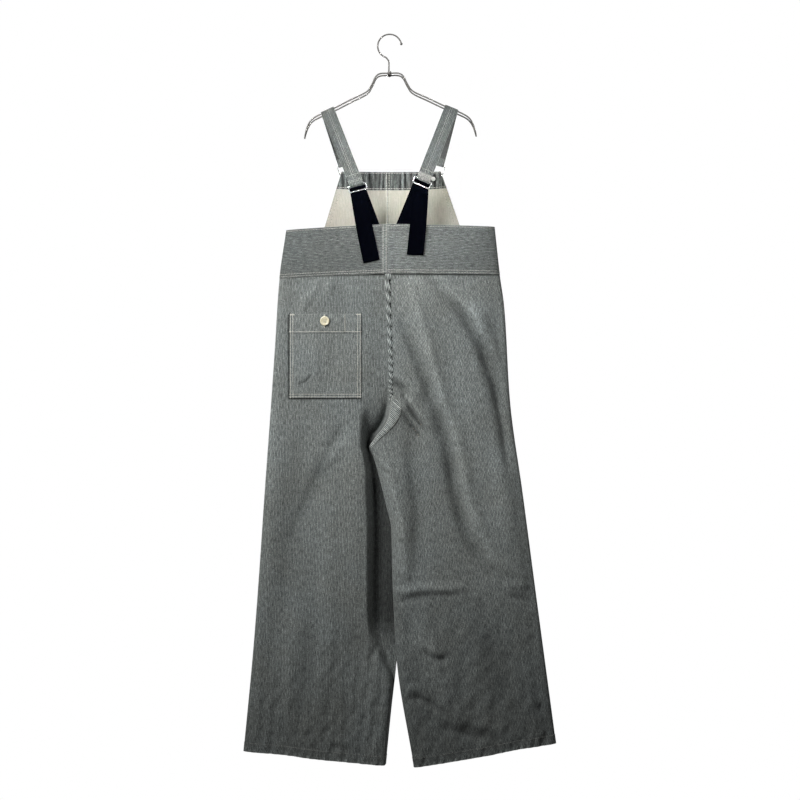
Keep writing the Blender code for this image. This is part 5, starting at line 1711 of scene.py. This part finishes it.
for side in (1, -1):
    centre, upwards, across = slideFrame(side)
    halfWidth, pitch, corner = slide["half"], slide["pitch"], 1.6
    outline = []
    for x, u, start in ((1, 1, 90), (1, -1, 0), (-1, -1, -90), (-1, 1, -180)):
        centreAt = (x * (halfWidth - corner), u * (pitch - corner))
        outline += arc(centreAt, corner, start, start - 90, 8)
    loop = [centre + across * x + upwards * u for x, u in outline]
    name = "slide" + sideTitle[side]
    frameWire = wire(name, loop, slide["wire"], silverMetal, closed=True)
    ends = [centre - across * halfWidth, centre + across * halfWidth]
    bar = wire(name + "Bar", ends, slide["wire"] * 0.96, silverMetal)
    rides(joined(frameWire, bar), "silver", "slide_" + sideName[side])

    centre, upwards, across = buckleFrame(side)
    half, top, low = buckle["half"], buckle["top"], buckle["shoulder"]
    left = [(1.6 - half, top), (0.5 - half, top - 0.5), (-half, top - 1.6), (-half, low),
            (3 - half, low - 5)]
    outline = left + arc((0, 0), buckle["throat"], 180, 360, 28) + [(-x, u) for x, u in left[::-1]]
    line = [Vector((*p, 0)) for p in outline]
    rounded = []
    for around in zip([line[-1], *line], line, [*line[1:], line[0]]):
        rounded += roundedCorner(*around, 2.4, 0.4)
    loop = [centre + across * p.x + upwards * p.y for p in rounded]
    name = "buckle" + sideTitle[side]
    frameWire = wire(name, loop, buckle["wire"], silverMetal, closed=True)
    rides(frameWire, "silver", "buckle_" + sideName[side])

    x, z = bibButton[side]
    surface = float(bibPoint(np.array([x]), np.array([bibUp(z)]))[0, 1])
    seat = surface - layer["cloth"] / 2 - layer["gap"] - 0.1
    reach = seat - (buckle["y"] - buckle["wire"] - layer["gap"])
    cap, shank = bibButton["cap"], bibButton["shank"]
    dome = ((0.9, 0), (1, 0.9), (0.94, 1.9), (0.80, 2.05), (0.74, 1.75), (0.6, 2.3), (0.3, 2.75),
            (0, 2.9))
    profile = [(0, 0), (shank, 0), (shank, reach), *((cap * r, reach + h) for r, h in dome)]
    profile = softened(profile, 0.5)
    name = "bibButton" + sideTitle[side]
    made = turnedPiece(name, profile, Vector((x, seat, z)), Vector((0, -1, 0)), silverMetal)
    rides(made, "silver", "bib_button_" + sideName[side])
    size = bibButton["rivet"]
    seat = surface + 1.5 * layer["cloth"] + 3 * layer["gap"]
    profile = [(0, 0), (size, 0), (size, 0.5), (size * 0.8, 1.1), (size * 0.3, 1.3), (0, 1.3)]
    profile = softened(profile, 0.3)
    name = "bibRivet" + sideTitle[side]
    made = turnedPiece(name, profile, Vector((x, seat, z)), Vector((0, 1, 0)), rivetMetal)
    rides(made, "silver", "bib_rivet_" + sideName[side])
print("straps and fittings made")


pocketButton = {"x": 132.0, "z": -590.3, "radius": 9.7, "thick": 3.0, "holes": 2.7, "hole": 1.25}
buttonX, buttonZ, radius, thick = (pocketButton[key] for key in ("x", "z", "radius", "thick"))


def seatPoint(x, z, outwards):
    return Vector((x, float(legDepth(1, 1, x, z)) + outwards, z))


beside = seatPoint(buttonX + 10, buttonZ, 0) - seatPoint(buttonX - 10, buttonZ, 0)
below = seatPoint(buttonX, buttonZ - 10, 0) - seatPoint(buttonX, buttonZ + 10, 0)
axis = beside.cross(below).normalized()
base = layer["cloth"] / 2 + pocket["off"] + layer["hem"] + float(pocketBelly(0.5, buttonZ))
seat = seatPoint(buttonX, buttonZ, base + layer["gap"]) + Vector((0, 0.4, 0))
profile = softened([
    (0, 0), (radius * 0.8, 0), (radius, thick * 0.35), (radius, thick * 0.75),
    (radius * 0.88, thick), (radius * 0.72, thick), (radius * 0.6, thick * 0.7), (0, thick * 0.7),
], 0.7)
disc = turnedPiece("pocketButton", profile, seat, axis, creamButton, 64)
acrossAxis = beside.normalized()
upAxis = axis.cross(acrossAxis).normalized()
off = pocketButton["holes"] * 0.75
holes = []
for signX in (1, -1):
    for signZ in (1, -1):
        spot = seat + (acrossAxis * signX + upAxis * signZ) * off
        line = [spot - axis, spot + axis * 6]
        holes.append(wire("hole", line, pocketButton["hole"], creamButton))
rides(joined(disc, *holes, operation="DIFFERENCE"), "button", "pocket_button")
for sign in (1, -1):
    spot = seat + acrossAxis * sign * off + axis * thick * 0.62
    line = [spot + upAxis * t * off + axis * 0.55 * math.cos(t * 1.3)
            for t in (-1, -0.5, 0, 0.5, 1)]
    rides(wire("buttonThread" + sideTitle[sign], line, 0.42, creamThread), "denim")
print("pocket button made")


studio = {
    "camera": (-0.0216, 3.8, -0.7519),
    "lens": 83.0,
    "keyPower": 12.0, "keySize": 0.8, "keySpread": 68.0,
    "keyPlace": (1.2, 1.4, 0.45), "keyAim": (-0.1, 0, -0.42),
    "sidePower": 1.3, "sideSize": 0.6, "sideSpread": 62.0,
    "sidePlace": (-1.5, 1.1, 0.3), "sideAim": (-0.2, 0, -0.4),
    "bibPower": 0.5, "bibSize": 0.25, "bibSpread": 8.0,
    "bibPlace": (-0.05, 3.4, -0.5), "bibAim": (0, 0, -0.25),
    "fillPower": 95.0, "fillSize": 2.5, "fillSpread": 180.0,
    "fillPlace": (-0.5, -3.0, 0.8), "fillAim": (0, 0, -0.8),
    "worldLight": 0.014,
    "floor": -1.75, "floorRings": (0.5, 1.0, 2.0, 4.0), "floorSides": 96, "floorBounce": 0.12,
    "fadeFrom": 0.35, "fadeTo": 0.8, "fadeStart": 0.45,
}
cameraData = bpy.data.cameras.new("camera")
cameraData.lens, cameraData.sensor_width = studio["lens"], 36.0
camera = linked("camera", cameraData)
camera.location = studio["camera"]
camera.rotation_euler = (math.radians(90), 0, math.radians(180))
bpy.context.scene.camera = camera


def softbox(name, power, size, location, aim, spreadDegrees):
    data = bpy.data.lights.new(name, "AREA")
    data.energy, data.size, data.shape = power, size, "SQUARE"
    data.spread = math.radians(spreadDegrees)
    made = linked(name, data)
    made.location = location
    made.rotation_euler = (Vector(aim) - Vector(location)).to_track_quat("-Z", "Y").to_euler()
    made.visible_camera = False


for name in ("key", "side", "bib", "fill"):
    softbox(name, *(studio[name + value] for value in ("Power", "Size", "Place", "Aim", "Spread")))


# one shader for what the camera sees directly and another for all other rays
def byRay(tree, lighting, seen):
    rays = addNode(tree, "ShaderNodeLightPath", {})
    sockets = {0: rays.outputs["Is Camera Ray"], 1: lighting.outputs[0], 2: seen.outputs[0]}
    return addNode(tree, "ShaderNodeMixShader", sockets).outputs[0]


world = bpy.data.worlds.new("studioWorld")
world.use_nodes = True
bpy.context.scene.world = world
tree = world.node_tree
tree.nodes.clear()
white, worldColour = (1, 1, 1, 1), (0.97, 0.98, 1.0, 1)
seen = addNode(tree, "ShaderNodeBackground", {"Color": white, "Strength": 1.0})
sockets = {"Color": worldColour, "Strength": studio["worldLight"]}
lit = addNode(tree, "ShaderNodeBackground", sockets)
addNode(tree, "ShaderNodeOutputWorld", {"Surface": byRay(tree, lit, seen)})

height, sides, rings = studio["floor"] / mm, studio["floorSides"], studio["floorRings"]
points, faces = [(0, 0, height)], []
for ring in rings:
    for k in range(sides):
        angle = 2 * math.pi * k / sides
        points.append((ring * math.cos(angle) / mm, ring * math.sin(angle) / mm, height))
for k in range(sides):
    n = (k + 1) % sides
    faces.append((0, 1 + k, 1 + n))
    for r in range(len(rings) - 1):
        a, b = 1 + r * sides, 1 + (r + 1) * sides
        faces.append((a + k, b + k, b + n, a + n))
floorFinish, tree, shader = newFinish("paleFloor")
spot = objectPlace(tree)
settings = {"operation": "MULTIPLY"}
flat = addNode(tree, "ShaderNodeVectorMath", {0: spot, 1: (1, 1, 0)}, **settings).outputs[0]
away = addNode(tree, "ShaderNodeVectorMath", {0: flat}, operation="LENGTH").outputs["Value"]
grain = noise(tree, spot, 90.0, 3.0)
colour = blendColour(tree, grain, (0.86, 0.86, 0.86), (0.90, 0.90, 0.895))
feed(tree, shader, {"Base Color": colour, "Roughness": 0.9})
glow = addNode(tree, "ShaderNodeEmission", {"Color": white, "Strength": 1.0})
dim = addNode(tree, "ShaderNodeBsdfDiffuse", {"Color": (studio["floorBounce"],) * 3 + (1,)})
share = ramped(tree, away, studio["fadeFrom"], studio["fadeTo"], studio["fadeStart"], 1.0)
seen = addNode(tree, "ShaderNodeMixShader", {0: share, 1: shader.outputs[0], 2: glow.outputs[0]})
output = next(node for node in tree.nodes if node.type == "OUTPUT_MATERIAL")
feed(tree, output, {"Surface": byRay(tree, dim, seen)})
floor = meshPiece("floor", points, faces, (floorFinish,))
bpy.context.scene.view_settings.view_transform = "Standard"
print("studio made")
